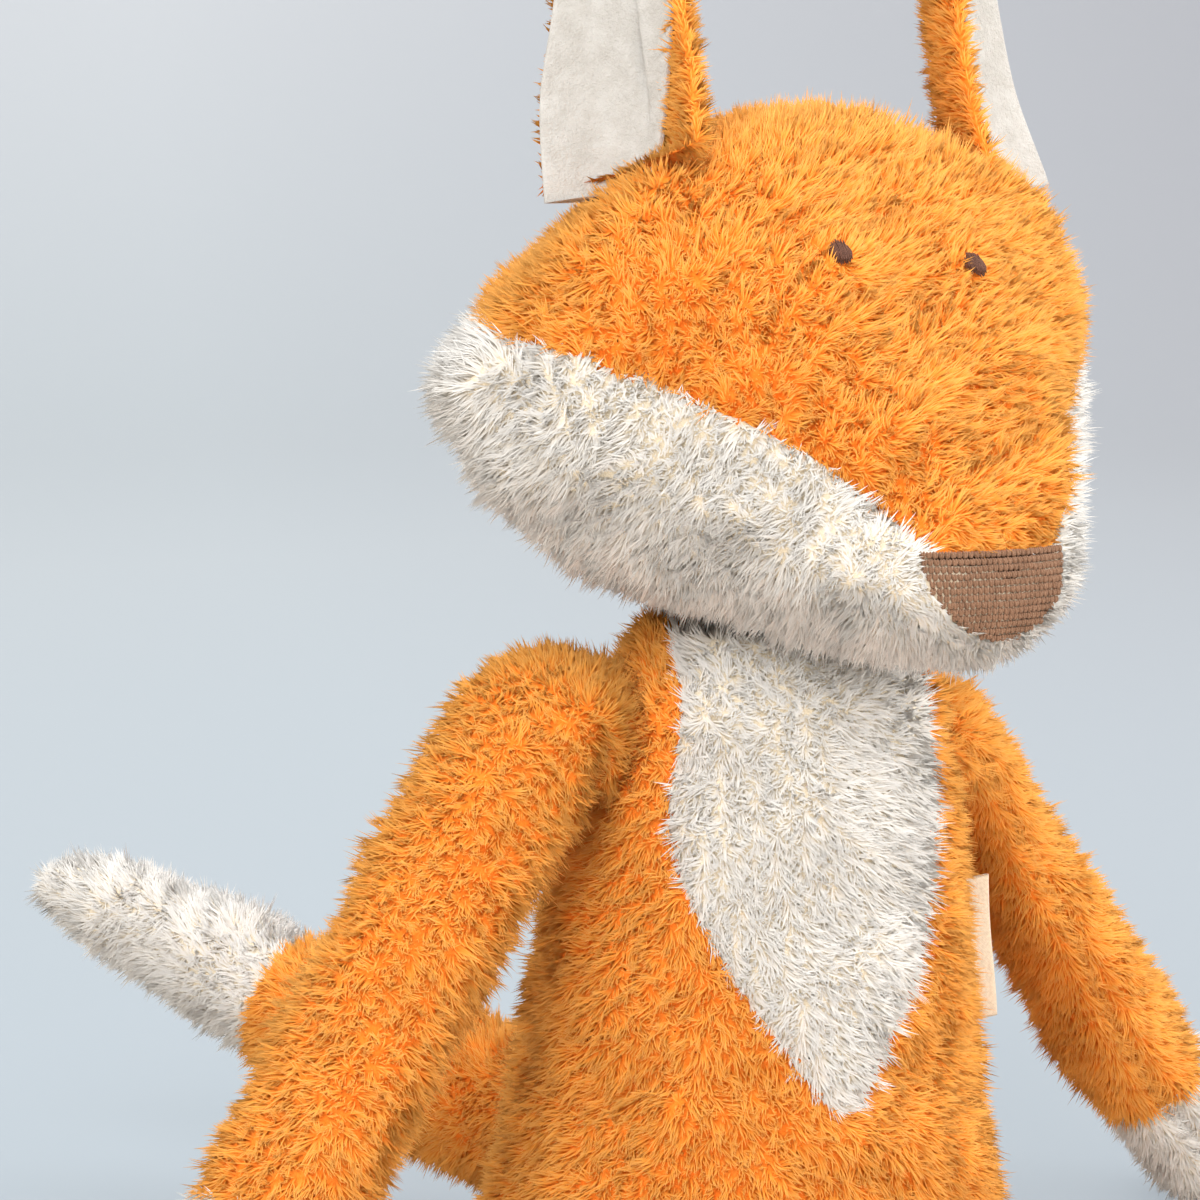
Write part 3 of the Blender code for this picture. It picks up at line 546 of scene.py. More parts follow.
def soft_noise(points, size, seed):
    """Smooth noise of three channels, each about -1 to 1, from sums of turned waves."""
    made = np.random.default_rng(seed)
    total = np.zeros((len(points), 3))
    for octave in range(3):
        for _ in range(5):
            wave = made.normal(size=3)
            wave *= 2 ** (octave * 0.6) * math.tau / size / np.linalg.norm(wave)
            phase = made.uniform(0, math.tau, 3)
            height = made.uniform(0.3, 0.6, 3) / (1 + octave)
            total += height * np.sin((points @ wave)[:, None] + phase)
    return total


def smooth_step(value, low, high):
    t = np.clip((value - low) / (high - low), 0, 1)
    return t * t * (3 - 2 * t)


# Forms


def body_middle(level):
    share = max(level / BODY_HEIGHT, 0.0)
    return Vector((NECK_LEAN.x * share**2, NECK_LEAN.y * share**2, level))


def body_rings(rings, sides):
    rows = through(BODY_SECTION_SHARES, np.linspace(0, 1, rings))
    turns = np.arange(sides) * math.tau / sides
    found = np.empty((rings, sides, 3))
    for n, (level, wide, deep) in enumerate(rows):
        middle = body_middle(level * BODY_HEIGHT)
        found[n, :, 0] = middle.x + wide * BODY_WIDTH / 2 * np.cos(turns)
        found[n, :, 1] = middle.y - deep * BODY_DEPTH / 2 * np.sin(turns)
        found[n, :, 2] = middle.z
    return found


def body_point(level, angle):
    level, wide, deep = read_table(BODY_SECTION_SHARES, level / BODY_HEIGHT)
    reach = Vector((wide * BODY_WIDTH / 2 * math.cos(angle), -deep * BODY_DEPTH / 2 * math.sin(angle), 0))
    return body_middle(level * BODY_HEIGHT) + reach


def body_normal(level, angle):
    step, turn = BODY_HEIGHT / 11, math.tau / 24
    up = body_point(level + step, angle) - body_point(level - step, angle)
    along = body_point(level, angle + turn) - body_point(level, angle - turn)
    normal = along.cross(up).normalized()
    return normal if normal.dot(body_point(level, angle) - body_middle(level)) > 0 else -normal


def head_frame():
    turn = Matrix.Rotation(HEAD_TURN, 4, "Z") @ Matrix.Rotation(HEAD_TILT, 4, "Y")
    return Matrix.Translation(body_middle(BODY_HEIGHT)) @ turn


def head_rings(rings, sides):
    """The head in its own frame, from the back of it to the tip of the snout."""
    rows = through(HEAD_SECTION_SHARES, np.linspace(0, 1, rings))
    turns = (np.arange(sides) + 0.5) * math.tau / sides
    cosines, sines = np.cos(turns), np.sin(turns)
    found = np.empty((rings, sides, 3))
    for n, (place, wide, level, top, bottom, squareness) in enumerate(rows):
        power = np.where(sines > 0, 2 / squareness, 2 / HEAD_UNDER_SQUARENESS)
        lift = np.where(sines > 0, top - level, bottom - level) * HEAD_HEIGHT
        found[n, :, 0] = np.sign(cosines) * np.abs(cosines) ** power * wide * HEAD_WIDTH / 2
        found[n, :, 1] = HEAD_BACK - place * HEAD_REACH
        found[n, :, 2] = level * HEAD_HEIGHT + np.abs(sines) ** power * lift
    return found


def head_poles():
    return (
        (0, HEAD_BACK, HEAD_BACK_POLE_LEVEL_SHARE * HEAD_HEIGHT),
        (0, HEAD_BACK - HEAD_REACH, HEAD_FRONT_POLE_LEVEL_SHARE * HEAD_HEIGHT),
    )


def head_surface(side, forward):
    row = read_table(HEAD_SECTION_SHARES, (forward + HEAD_BACK) / HEAD_REACH)
    _, wide, level, top, _, squareness = row
    share = min(abs(side / (wide * HEAD_WIDTH / 2)), 1.0)
    rise = (top - level) * (1 - share**squareness) ** (1 / squareness)
    return Vector((side, -forward, (level + rise) * HEAD_HEIGHT))


def head_normal(side, forward):
    step = HEAD_REACH / 26
    across = head_surface(side + step, forward) - head_surface(side - step, forward)
    along = head_surface(side, forward + step) - head_surface(side, forward - step)
    normal = across.cross(along).normalized()
    return normal if normal.z > 0 else -normal


def limb_rings(path, length, swell_shares, wide, thick, roll=0.0, domed_root=False):
    """Rings of a limb, its root first, with the far end and the root rounded off."""
    rings, sides = LIMB_MESH
    cap = thick / 2 / length
    places = np.linspace(0, 1, rings)
    # More rings in the rounded end
    rounded = 1 - cap * (1 - np.sin(np.linspace(0, 1, 9)[:-1] * math.pi / 2))
    places = np.concatenate([places[places < 1 - cap], rounded])
    points = through(path, places)
    along = unit(through(path, places + 0.02) - through(path, places - 0.02))
    level = unit(np.cross(along, (0, 0, 1)))
    rise = np.cross(level, along)
    swell = np.interp(places, *np.array(swell_shares).T)
    # Smooth the swell's corners
    swell = np.convolve(np.pad(swell, 3, "edge"), np.ones(7) / 7, "valid")
    inside_cap = np.clip((places - (1 - cap)) / cap, 0, 1)
    swell = swell * np.sqrt(np.clip(1 - inside_cap**2, 0, 1))
    turns = np.arange(sides) * math.tau / sides
    first = level * math.cos(roll) + rise * math.sin(roll)
    second = rise * math.cos(roll) - level * math.sin(roll)
    found = (
        points[:, None]
        + first[:, None] * (np.cos(turns)[None, :, None] * (wide / 2 * swell)[:, None, None])
        + second[:, None] * (np.sin(turns)[None, :, None] * (thick / 2 * swell)[:, None, None])
    )
    root, depth = points[0], wide / 2 * swell[0]
    if domed_root:
        turns = math.pi / 2 * (1 - np.arange(1, 7) / 7)
        steps = zip(depth * np.sin(turns), np.cos(turns))
    else:
        depth, steps = HIDDEN_ROOT_DEPTH, HIDDEN_ROOT_RINGS
    hidden = [root - along[0] * back + (found[0] - root) * share for back, share in steps]
    found = np.concatenate([np.array(hidden), found])
    root = root - along[0] * depth
    # Rings that cross on the inside of a bend near the root are drawn in
    middles, heading = found.mean(axis=1), headings(found)
    ahead = np.einsum("ijk,ik->ij", np.gradient(found, axis=0), heading)
    crossed = smooth_step(-ahead, -0.0010, 0.0002) * (np.arange(len(found)) < len(found) / 3)[:, None]
    for _ in range(3):
        crossed[1:-1] = np.maximum(crossed[1:-1], (crossed[:-2] + crossed[2:]) / 2)
        crossed = np.maximum(crossed, (np.roll(crossed, 1, axis=1) + np.roll(crossed, -1, axis=1)) / 2)
    found = found + (middles[:, None] - found) * (0.28 * crossed)[:, :, None]
    return found, root, through(path, [1.0])[0]


def headings(rings):
    """The way that a run of rings goes at each of them."""
    return unit(np.gradient(rings.mean(axis=1), axis=0))


def arm_path(side, shares):
    levels = {1: LEFT_SHOULDER_LEVEL, -1: RIGHT_SHOULDER_LEVEL}
    shoulder = body_point(levels[side], 0.0 if side > 0 else math.pi)
    return [tuple(shoulder + ARM_LENGTH * Vector((side * x, -y, -z))) for x, y, z in shares]


def leg_path(side):
    radius = LEG_THICKNESS / 2 * LEG_SWELL_SHARES[0][1]
    level = radius - SEAT_FLAT_DEPTH
    angle = math.pi / 2 - side * HIP_ANGLE
    outward = body_normal(level, angle)
    outward = Vector((outward.x, outward.y, 0)).normalized()
    hip = body_point(level, angle) + outward * (radius + MOVING_GAP - HIP_DISH_DEPTH)
    heading = Vector((side * math.sin(LEG_SPLAY), -math.cos(LEG_SPLAY), 0))
    found = []
    for share in np.linspace(0, 1, 8):
        under = LEG_THICKNESS / 2 * read_table(LEG_SWELL_SHARES, share)[1]
        spot = hip + heading * (LEG_LENGTH - radius) * share
        found.append((spot.x, spot.y, under - SEAT_FLAT_DEPTH))
    return found, LEG_LENGTH - radius


def tail_path():
    seat = body_point(TAIL_ROOT_LEVEL, -math.pi / 2)
    heading = Vector((-math.sin(TAIL_HEADING), math.cos(TAIL_HEADING), 0))
    return [
        tuple(seat + TAIL_LENGTH * (heading * along + Vector((0, 0, up)))) for along, up in TAIL_PATH_SHARES
    ]


# Pile


class Group(Tree):
    """A geometry tree with a geometry in and out and the named inputs."""

    def __init__(self, name, **kinds):
        super().__init__(bpy.data.node_groups.new(name, "GeometryNodeTree"))
        add = self.tree.interface.new_socket
        add("Geometry", in_out="OUTPUT", socket_type="NodeSocketGeometry")
        for label, kind in {"Geometry": "Geometry", **kinds}.items():
            add(label, in_out="INPUT", socket_type=f"NodeSocket{kind}")
        inlet = self.tree.nodes.new("NodeGroupInput")
        self.given = {output.name: Socket(self, output) for output in inlet.outputs if output.name}

    def written(self, name, kind="FLOAT_VECTOR"):
        """What the points carry under this name."""
        return self.node("GeometryNodeInputNamedAttribute", {"data_type": kind}, {"Name": name})

    def planted(self, points, piece, turn, size):
        """The tree, which ends in real copies of a piece on points, in the given finish."""
        piece = self.node("GeometryNodeObjectInfo", {}, {"Object": piece}, "Geometry")
        values = {"Points": points, "Instance": piece, "Rotation": turn, "Scale": size}
        copies = self.node("GeometryNodeInstanceOnPoints", {}, values)
        real = self.node("GeometryNodeRealizeInstances", {}, {0: copies})
        values = {"Geometry": real, "Material": self.given["Finish"]}
        dressed = self.node("GeometryNodeSetMaterial", {}, values)
        self.tree.links.new(dressed.output, self.tree.nodes.new("NodeGroupOutput").inputs[0])
        return self.tree


def tuft_mesh():
    """A tapered three-sided tuft one long and one wide."""
    points = [(0.5 * math.cos(turn), 0.5 * math.sin(turn), 0) for turn in np.arange(3) * math.tau / 3]
    places = []
    for n in range(3):
        places += [(n / 3, 0), ((n + 1) / 3, 0), ((n + 0.5) / 3, 1)]
    mesh = bpy.data.meshes.new("tuft")
    mesh.from_pydata([*points, (0, 0, 1)], [], [(0, 1, 3), (1, 2, 3), (2, 0, 3)])
    write_all(mesh.uv_layers.new(name="OFBake").data, "uv", places)
    mesh.shade_smooth()
    return mesh


def pile_tree():
    """Tufts stand on the faces, along the combing that the backing carries."""
    if "Pile" in bpy.data.node_groups:
        return bpy.data.node_groups["Pile"]
    group = Group(
        "Pile",
        Density="Float",
        Tuft="Object",
        Width="Float",
        Length="Float",
        Ruffle="Float",
        Seed="Int",
        Finish="Material",
    )
    given, seed = group.given, group.given["Seed"]
    values = {"Mesh": given["Geometry"], "Density": given["Density"], "Seed": seed}
    points = group.node("GeometryNodeDistributePointsOnFaces", {}, values)
    inside = group.written("inside", "FLOAT")
    outside = group.node("FunctionNodeCompare", {"operation": "LESS_THAN"}, {0: inside})
    points = group.node("GeometryNodeDeleteGeometry", {}, {"Geometry": points, "Selection": outside})
    values = {0: (-1, -1, -1), 1: (1, 1, 1), "Seed": seed}
    stray = group.node("FunctionNodeRandomValue", {"data_type": "FLOAT_VECTOR"}, values)
    stray = group.node("ShaderNodeVectorMath", {"operation": "SCALE"}, {0: stray, "Scale": given["Ruffle"]})
    ways = [group.written(label) for label in ("comb", "sweep")]
    combed_way, swept_way = (group.node("ShaderNodeVectorMath", {}, {0: way, 1: stray}) for way in ways)
    stand = group.node("FunctionNodeAlignRotationToVector", {"axis": "Z"}, {"Vector": combed_way})
    values = {"Rotation": stand, "Vector": swept_way}
    turn = group.node("FunctionNodeAlignRotationToVector", {"axis": "X", "pivot_axis": "Z"}, values)
    spread = group.node("FunctionNodeRandomValue", {}, {2: 0.8, 3: 1.12, "Seed": seed}, 1)
    width, length = spread * given["Width"], group.written("pile", "FLOAT") * given["Length"] * spread
    size = group.node("ShaderNodeCombineXYZ", {}, {0: width, 1: width, 2: length})
    return group.planted(points, given["Tuft"], turn, size)


def grown(piece, tree, **settings):
    """The tree's result on the piece as a plain mesh, which becomes the piece's own."""
    modifier = piece.modifiers.new(tree.name, "NODES")
    modifier.node_group = tree
    for item in tree.interface.items_tree:
        if item.in_out == "INPUT" and item.name in settings:
            modifier[item.identifier] = settings[item.name]
    piece.update_tag()
    shape = piece.evaluated_get(bpy.context.evaluated_depsgraph_get())
    mesh = bpy.data.meshes.new_from_object(shape)
    piece.modifiers.remove(modifier)
    old, piece.data = piece.data, mesh
    bpy.data.meshes.remove(old)
    mesh.name = piece.name
    return mesh


def tint_tufts(mesh, seed):
    """Every tuft takes one column of the tint, by where it stands and a little by chance."""
    roots = points_of(mesh).reshape(-1, TUFT_POINTS, 3)[:, :3].mean(axis=1)
    drift = soft_noise(roots, 0.030, seed)[:, 0] * 0.10 + soft_noise(roots, 0.011, seed + 1)[:, 1] * 0.09
    chance = np.random.default_rng(seed).normal(0, 0.14, len(roots))
    tint = np.clip(0.5 + drift + chance, 0, 0.999)
    column = np.repeat(np.floor(tint * TINT_COLUMNS), TUFT_POINTS)
    corners = read_all(mesh.loops, "vertex_index", 1, np.int32).ravel()
    layer = mesh.uv_layers["OFBake"].data
    places = read_all(layer, "uv", 2, np.float32)
    places[:, 0] = (column[corners] + 0.04 + 0.92 * places[:, 0]) / TINT_COLUMNS
    places[:, 1] = 0.02 + 0.96 * places[:, 1]
    write_all(layer, "uv", places)


# The small whorls as shares of the large ones' size and strength, and the longest that a combing gets
SMALL_WHORL_SIZE_SHARE, SMALL_WHORL_SHARE, LONGEST_COMBING = 0.33, 1.25, 1.25


def combed(mesh, flow, settings, seed, pile=None):
    """Writes on the backing how its pile lies: flow is the combing, which whorls then stir."""
    points, normals = points_of(mesh), normals_of(mesh)
    stir = soft_noise(points, settings.whorl_size, seed) * settings.whorl
    small = soft_noise(points, settings.whorl_size * SMALL_WHORL_SIZE_SHARE, seed + 7)
    stir += small * settings.whorl * SMALL_WHORL_SHARE
    flow = flow + stir
    flow -= normals * np.einsum("ij,ij->i", normals, flow)[:, None]
    reach = np.linalg.norm(flow, axis=1)[:, None]
    flow *= np.minimum(1.0, LONGEST_COMBING / np.maximum(reach, TINY))
    put_attribute(mesh, "comb", normals + flow * settings.lean)
    put_attribute(mesh, "stand", normals)
    put_attribute(mesh, "sweep", flow + normals * 1e-4)
    put_attribute(mesh, "inside", np.ones(len(points)))
    put_attribute(mesh, "pile", np.ones(len(points)) if pile is None else pile)


def gather_tips(mesh, settings, seed):
    """Draws the tips of neighbouring tufts together or apart, as in a pile that was handled."""
    points = points_of(mesh).reshape(-1, TUFT_POINTS, 3)
    roots = points[:, :3].mean(axis=1)
    tuft = points[:, 3] - roots
    length = np.linalg.norm(tuft, axis=1)[:, None]
    size = settings.gather_size
    pull = soft_noise(roots, size, seed + 3) + 0.5 * soft_noise(roots, size / 2.3, seed + 4)
    height = 1 + 0.16 * soft_noise(roots, size * 0.8, seed + 5)[:, :1]
    points[:, 3] = roots + tuft * height + pull * length * settings.gather
    move_points(mesh, points.reshape(-1, 3))


def soften(mesh, share):
    """Turns the tufts' shading normals towards the cloth's, as light spreads in a deep pile."""
    cloth = read_all(mesh.attributes["stand"].data, "vector")
    cloth /= np.maximum(np.linalg.norm(cloth, axis=1), TINY)[:, None]
    normals = normals_of(mesh) * (1 - share) + cloth * share
    normals /= np.maximum(np.linalg.norm(normals, axis=1), TINY)[:, None]
    mesh.normals_split_custom_set_from_vertices(normals.tolist())


def turn_combing(mesh, turn):
    """Turns what the backing carries as directions, after the mesh itself was turned."""
    turn = np.array(turn.to_3x3())
    for label in ("comb", "sweep", "stand"):
        layer = mesh.attributes[label].data
        write_all(layer, "vector", read_all(layer, "vector") @ turn.T)


def area_where(mesh, inside):
    """The backing's area in square metres where the given values are above zero."""
    return sum(face.area for face, middle in zip(mesh.polygons, face_middles(mesh, inside)) if middle > 0)


def grow_pile(context, name, backing, finish, body, replaced, seed, inside, on_floor=True):
    """A furred panel: tufts over the part of the backing where inside is above zero."""
    settings = context.scene.fox_pile
    tuft = bpy.data.objects.get("tuft")
    if tuft is None:
        tuft = object_of("tuft", tuft_mesh())
        tuft.hide_render = True
        context.view_layer.update()
    piece = object_of(name, backing.data.copy())
    write_all(piece.data.attributes["inside"].data, "value", inside)
    piece.data.materials.clear()
    density = min(settings.density, MOST_TUFTS / max(area_where(piece.data, inside), TINY))
    mesh = grown(
        piece,
        pile_tree(),
        Density=density,
        Tuft=tuft,
        Width=settings.width * math.sqrt(settings.density / density),
        Length=settings.length,
        Ruffle=settings.ruffle,
        Seed=seed,
        Finish=finish_of(finish),
    )
    tint_tufts(mesh, seed)
    gather_tips(mesh, settings, seed)
    if on_floor:
        points = points_of(mesh)
        points[:, 2] = np.maximum(points[:, 2], TUFT_CLEARANCE)
        move_points(mesh, points)
    soften(mesh, settings.softness)
    drop_attributes(mesh, "comb", "sweep", "inside", "pile", "stand")
    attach(piece, body)
    if replaced:
        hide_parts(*replaced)
    return piece


def sink_in(mesh, depths):
    """Draws the cloth in along its normals, and keeps it off the floor."""
    points = points_of(mesh) - normals_of(mesh) * depths[:, None]
    points[:, 2] = np.maximum(points[:, 2], CLOTH_CLEARANCE)
    move_points(mesh, points)


def make_backing(name, mesh, whites, body, replaced):
    """The closed cloth skin that carries the pile, white on the faces that whites names."""
    piece = object_of(name, mesh)
    for label in ("orange cloth", "white cloth"):
        mesh.materials.append(finish_of(label))
    for face, white in zip(mesh.polygons, whites):
        face.material_index = int(white)
    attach(piece, body)
    if replaced:
        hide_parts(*replaced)
    return piece


# The soft parts


def bib_share(points):
    """Above zero inside the bib's outline, in metres from its edge, on the front of the body."""
    level = points[:, 2]
    up = (level - BIB_TIP_LEVEL) / BIB_HEIGHT
    rows = through(BIB_OUTLINE_SHARES, np.linspace(0, 1, 60))
    half = np.interp(up, rows[:, 0], rows[:, 1]) * BIB_WIDTH / 2
    lean = NECK_LEAN.x * np.maximum(level / BODY_HEIGHT, 0) ** 2
    middle = lean - BIB_SHIFT + BIB_TIP_LEAN * (1 - np.minimum(up, 1))
    inside = half - np.abs(points[:, 0] - middle)
    inside = np.where(up > 0, inside, -np.hypot(inside, up * BIB_HEIGHT))
    return np.where(points[:, 1] < BIB_BACK_LIMIT, inside, FAR_OUTSIDE)


# Between these shares of the body's height the cloth rises to the pile's tips, as the head covers it
NECK_COVER_SHARES, BELLY_WAVE, BELLY_SEAM_FADE = (0.80, 0.93), 0.005, 0.012


def make_torso(context):
    settings = context.scene.fox_pile
    rings = body_rings(*BODY_MESH)
    mesh = grid_mesh("body_backing", rings, (0, 0, rings[0, 0, 2]), tuple(body_middle(rings[-1, 0, 2])))
    points = points_of(mesh)
    points[:, 2] = np.minimum(points[:, 2], BODY_HEIGHT - 0.001)
    move_points(mesh, points)
    bib = bib_share(points_of(mesh))
    near_neck = smooth_step(points[:, 2] / BODY_HEIGHT, *NECK_COVER_SHARES)
    sink_in(mesh, settings.sink * (1 - 0.8 * near_neck))
    # The bib's seam lies in a shallow groove, and the belly folds in soft creases under the bib
    groove = BIB_SEAM_DEPTH * bell(bib, SEAM_REACH)
    wave = soft_noise(points, size=0.06, seed=12)[:, 0] * BELLY_WAVE
    beside = smooth_step(-bib, 0.0, BELLY_SEAM_FADE)
    for level, depth in BELLY_CREASES:
        groove += depth * bell(points[:, 2] - level - wave, BELLY_CREASE_REACH) * beside
    groove -= soft_noise(points, size=0.032, seed=13)[:, 0] * SWELL_HEIGHT * (1 - near_neck)
    move_points(mesh, points_of(mesh) - normals_of(mesh) * groove[:, None])
    flow = np.tile((0.0, 0.0, -1.0), (len(points), 1))
    flow[:, 2] += 1.2 * near_neck
    combed(mesh, flow, settings, seed=11)
    whites = [value > 0 for value in face_middles(mesh, bib)]
    backing = make_backing("body_backing", mesh, whites, "torso", ["body_stuffing"])
    front = SIDE_LINE - points_of(mesh)[:, 1]
    for name, finish, replaced, seed, inside in (
        ("body_fur", "orange pile", ["body_cover"], 21, np.minimum(-bib, front)),
        ("body_back_fur", "orange pile", [], 23, -front),
        ("bib_fur", "white pile", ["chest_bib"], 22, bib),
    ):
        grow_pile(context, name, backing, finish, "torso", replaced, seed, inside)


# The fold in the right cheek, and where the pile stands longer on both cheeks
CHEEK_FOLD, CHEEK_FOLD_REACH, CHEEK_FOLD_DEPTH = (-0.086, -0.005, 0.054), (0.020, 0.006, 0.013), 0.0034
CHEEK_RUFFS = (
    ((-0.077, 0.003, 0.082), 0.014, 0.40),
    ((-0.088, 0.007, 0.066), 0.014, 0.35),
    ((0.077, 0.003, 0.082), 0.014, 0.30),
    ((0.088, 0.007, 0.066), 0.014, 0.30),
)


# The head's combing is a spread from the middle and a steady way, and parts around the fold and the eyes
HEAD_COMB_SPREAD, HEAD_COMB_WAY = np.array((6.0, 4.0, 4.0)), np.array((0.0, 0.25, -0.49))
CHEEK_FOLD_PARTING, EYE_PARTING, EYE_PARTING_REACH, EYE_SHORTENING = 175.0, 2.4, 0.007, 0.45
# Around the nose the cloth stands higher, and the pile is shorter and combed inwards
NOSE_LIFT_SHARE, NOSE_SHORTENING, NOSE_PULL = 0.55, 0.35, 1.3


def cheek_seam_level(points):
    """How far a point in the head's frame lies above the colour seam."""
    rows = np.array(CHEEK_SEAM_SHARES)
    level = np.interp(-points[:, 1] / HEAD_REACH, rows[:, 0], rows[:, 1]) * HEAD_HEIGHT
    return points[:, 2] - level


def nose_share(points):
    """Above zero inside the nose's half disc, seen from the front of the head."""
    across = (points[:, 0] - FACE_SIDE) / (NOSE_WIDTH / 2)
    down = (NOSE_LEVEL - points[:, 2]) / NOSE_HEIGHT
    radial = (1 - np.hypot(across, np.maximum(down, 0))) * NOSE_HEIGHT
    inside = np.minimum(radial, NOSE_LEVEL - points[:, 2])
    return np.where(points[:, 1] < NOSE_BACK_LIMIT, inside, FAR_OUTSIDE)


def eye_spots():
    return [
        head_surface(FACE_SIDE + side * EYE_SPACING / 2, EYE_PLACE + side * EYE_SLANT) for side in (-1, 1)
    ]


def make_head(context):
    settings = context.scene.fox_pile
    mesh = grid_mesh("head_backing", head_rings(*HEAD_MESH), *head_poles())
    local = points_of(mesh)
    normals = normals_of(mesh)
    above = cheek_seam_level(local)
    behind = local[:, 1] - BACK_SEAM_PLACE
    nose = nose_share(local)
    sunk = settings.sink * (1 - NOSE_LIFT_SHARE * smooth_step(nose, -0.003, 0.001))
    local = local - normals * sunk[:, None]
    groove = PANEL_SEAM_DEPTH * bell(above, SEAM_REACH) * (behind < 0)
    groove += BACK_SEAM_DEPTH * bell(behind, SEAM_REACH)
    fold = np.exp(-(((local - CHEEK_FOLD) / CHEEK_FOLD_REACH) ** 2).sum(axis=1))
    groove += CHEEK_FOLD_DEPTH * fold
    groove -= soft_noise(local, size=0.034, seed=14)[:, 0] * SWELL_HEIGHT * smooth_step(-nose, 0.002, 0.012)
    local = local - normals * groove[:, None]

    flow = local * HEAD_COMB_SPREAD + HEAD_COMB_WAY
    hanging = np.tile((0.0, 0.0, -1.0), (len(local), 1))
    flow += (hanging - flow) * smooth_step(behind, -0.012, 0.006)[:, None]
    keep, pile = -nose, np.ones(len(local))
    for spot in eye_spots():
        away = local - np.array(spot)
        near = np.linalg.norm(away, axis=1)
        keep = np.minimum(keep, near - EYE_DIAMETER * 0.52)
        parted = bell(near, EYE_PARTING_REACH)
        flow += away / np.maximum(near, 1e-4)[:, None] * (EYE_PARTING * parted)[:, None]
        pile *= 1 - EYE_SHORTENING * parted
    flow += (local - CHEEK_FOLD) * CHEEK_FOLD_PARTING * fold[:, None]
    for spot, reach, longer in CHEEK_RUFFS:
        pile *= 1 + longer * bell(np.linalg.norm(local - spot, axis=1), reach)
    pile *= 1 - NOSE_SHORTENING * smooth_step(nose, -0.012, 0.0)
    fringe = smooth_step(nose, -0.009, -0.001)[:, None]
    inward = np.array((FACE_SIDE, local[:, 1].min(), NOSE_LEVEL - NOSE_HEIGHT / 2)) - local
    flow += (unit(inward) * NOSE_PULL - flow) * fringe
    move_points(mesh, local)
    combed(mesh, flow, settings, seed=31, pile=pile)
    world = head_frame()
    mesh.transform(world)
    turn_combing(mesh, world)

    whites = [value < 0 for value in face_middles(mesh, np.where(behind > 0, 1.0, above))]
    backing = make_backing("head_backing", mesh, whites, "head", ["head_stuffing"])
    upper, lower = np.minimum(above, -behind), np.minimum(-above, -behind)
    for name, replaced, finish, seed, inside in (
        ("head_upper_right_fur", ["head_upper"], "orange pile", 41, np.minimum(upper, -local[:, 0])),
        ("head_upper_left_fur", [], "orange pile", 44, np.minimum(upper, local[:, 0])),
        ("head_lower_fur", ["head_lower"], "white pile", 42, lower),
        ("head_back_fur", ["head_back"], "orange pile", 43, behind),
    ):
        inside = np.minimum(inside, keep)
        grow_pile(context, name, backing, finish, "head", replaced, seed, inside, on_floor=False)


# How strongly the pile parts along a sleeve's seam, and how much of a paw's solid shows white
SLEEVE_PARTING, PAW_SHARE = 1.3, 0.93


def make_limb(context, name, tip_name, form, tip_length, seed, seam=None):
    """A furred limb: its sleeve up to where the white begins, and its white end.

    Its sewn-up seam, where there is one, runs along it at a side of its section from 0 to 1.
    """
    settings = context.scene.fox_pile
    rings, root, end = form
    mesh = grid_mesh(f"{name}_backing", rings, tuple(root), tuple(end))
    count, sides = rings.shape[:2]
    along = run_along(rings.mean(axis=1))
    run = np.concatenate([np.repeat(along, sides), [along[0] - 0.01, along[-1] + 0.002]])
    white = run - (along[-1] - tip_length)
    groove = PANEL_SEAM_DEPTH * bell(white, SEAM_REACH)
    groove -= soft_noise(points_of(mesh), size=0.030, seed=seed + 8)[:, 0] * SWELL_HEIGHT
    parting = np.zeros((count * sides + 2, 3))
    if seam is not None:
        turn = (np.arange(sides) / sides - seam + 0.5) % 1 - 0.5
        around = unit(np.roll(rings, -1, axis=1) - np.roll(rings, 1, axis=1))
        near = bell(turn, SLEEVE_PARTING_SHARE) * np.sign(turn)
        parting[:-2] = (around * near[None, :, None]).reshape(-1, 3) * SLEEVE_PARTING
        groove[:-2] += np.tile(SLEEVE_SEAM_DEPTH * bell(turn, SLEEVE_SEAM_WIDTH_SHARE), count)
    sink_in(mesh, settings.sink + groove)
    heading = headings(rings)
    flow = np.concatenate([np.repeat(heading, sides, axis=0), heading[:1], heading[-1:]])
    combed(mesh, flow - parting, settings, seed)
    whites = [value > 0 for value in face_middles(mesh, white)]
    backing = make_backing(f"{name}_backing", mesh, whites, name, [f"{name}_stuffing"])
    grow_pile(context, f"{name}_fur", backing, "orange pile", name, [f"{name}_cover"], seed + 1, -white)
    grow_pile(context, f"{tip_name}_fur", backing, "white pile", name, [tip_name], seed + 2, white)


def run_along(places):
    """How far along a line each of its places lies."""
    return np.concatenate([[0], np.cumsum(np.linalg.norm(np.diff(places, axis=0), axis=1))])


def make_arms(context):
    right = RIGHT_ARM_PATH_SHARES, RIGHT_ARM_SWELL_SHARES, RIGHT_ARM_ROLL
    left = LEFT_ARM_PATH_SHARES, LEFT_ARM_SWELL_SHARES, LEFT_ARM_ROLL
    for name, tip, side, (shares, swell, roll), seed, seam in (
        ("right_arm", "right_paw", -1, right, 51, None),
        ("left_arm", "left_paw", 1, left, 61, 0.01),
    ):
        form = limb_rings(arm_path(side, shares), ARM_LENGTH, swell, ARM_WIDTH, ARM_THICKNESS, roll)
        make_limb(context, name, tip, form, PAW_LENGTH * PAW_SHARE, seed, seam)


def make_legs(context):
    for name, tip, side, seed in (("right_leg", "right_foot", -1, 71), ("left_leg", "left_foot", 1, 81)):
        path, length = leg_path(side)
        form = limb_rings(path, length, LEG_SWELL_SHARES, LEG_THICKNESS, LEG_THICKNESS, domed_root=True)
        make_limb(context, name, tip, form, FOOT_LENGTH, seed)


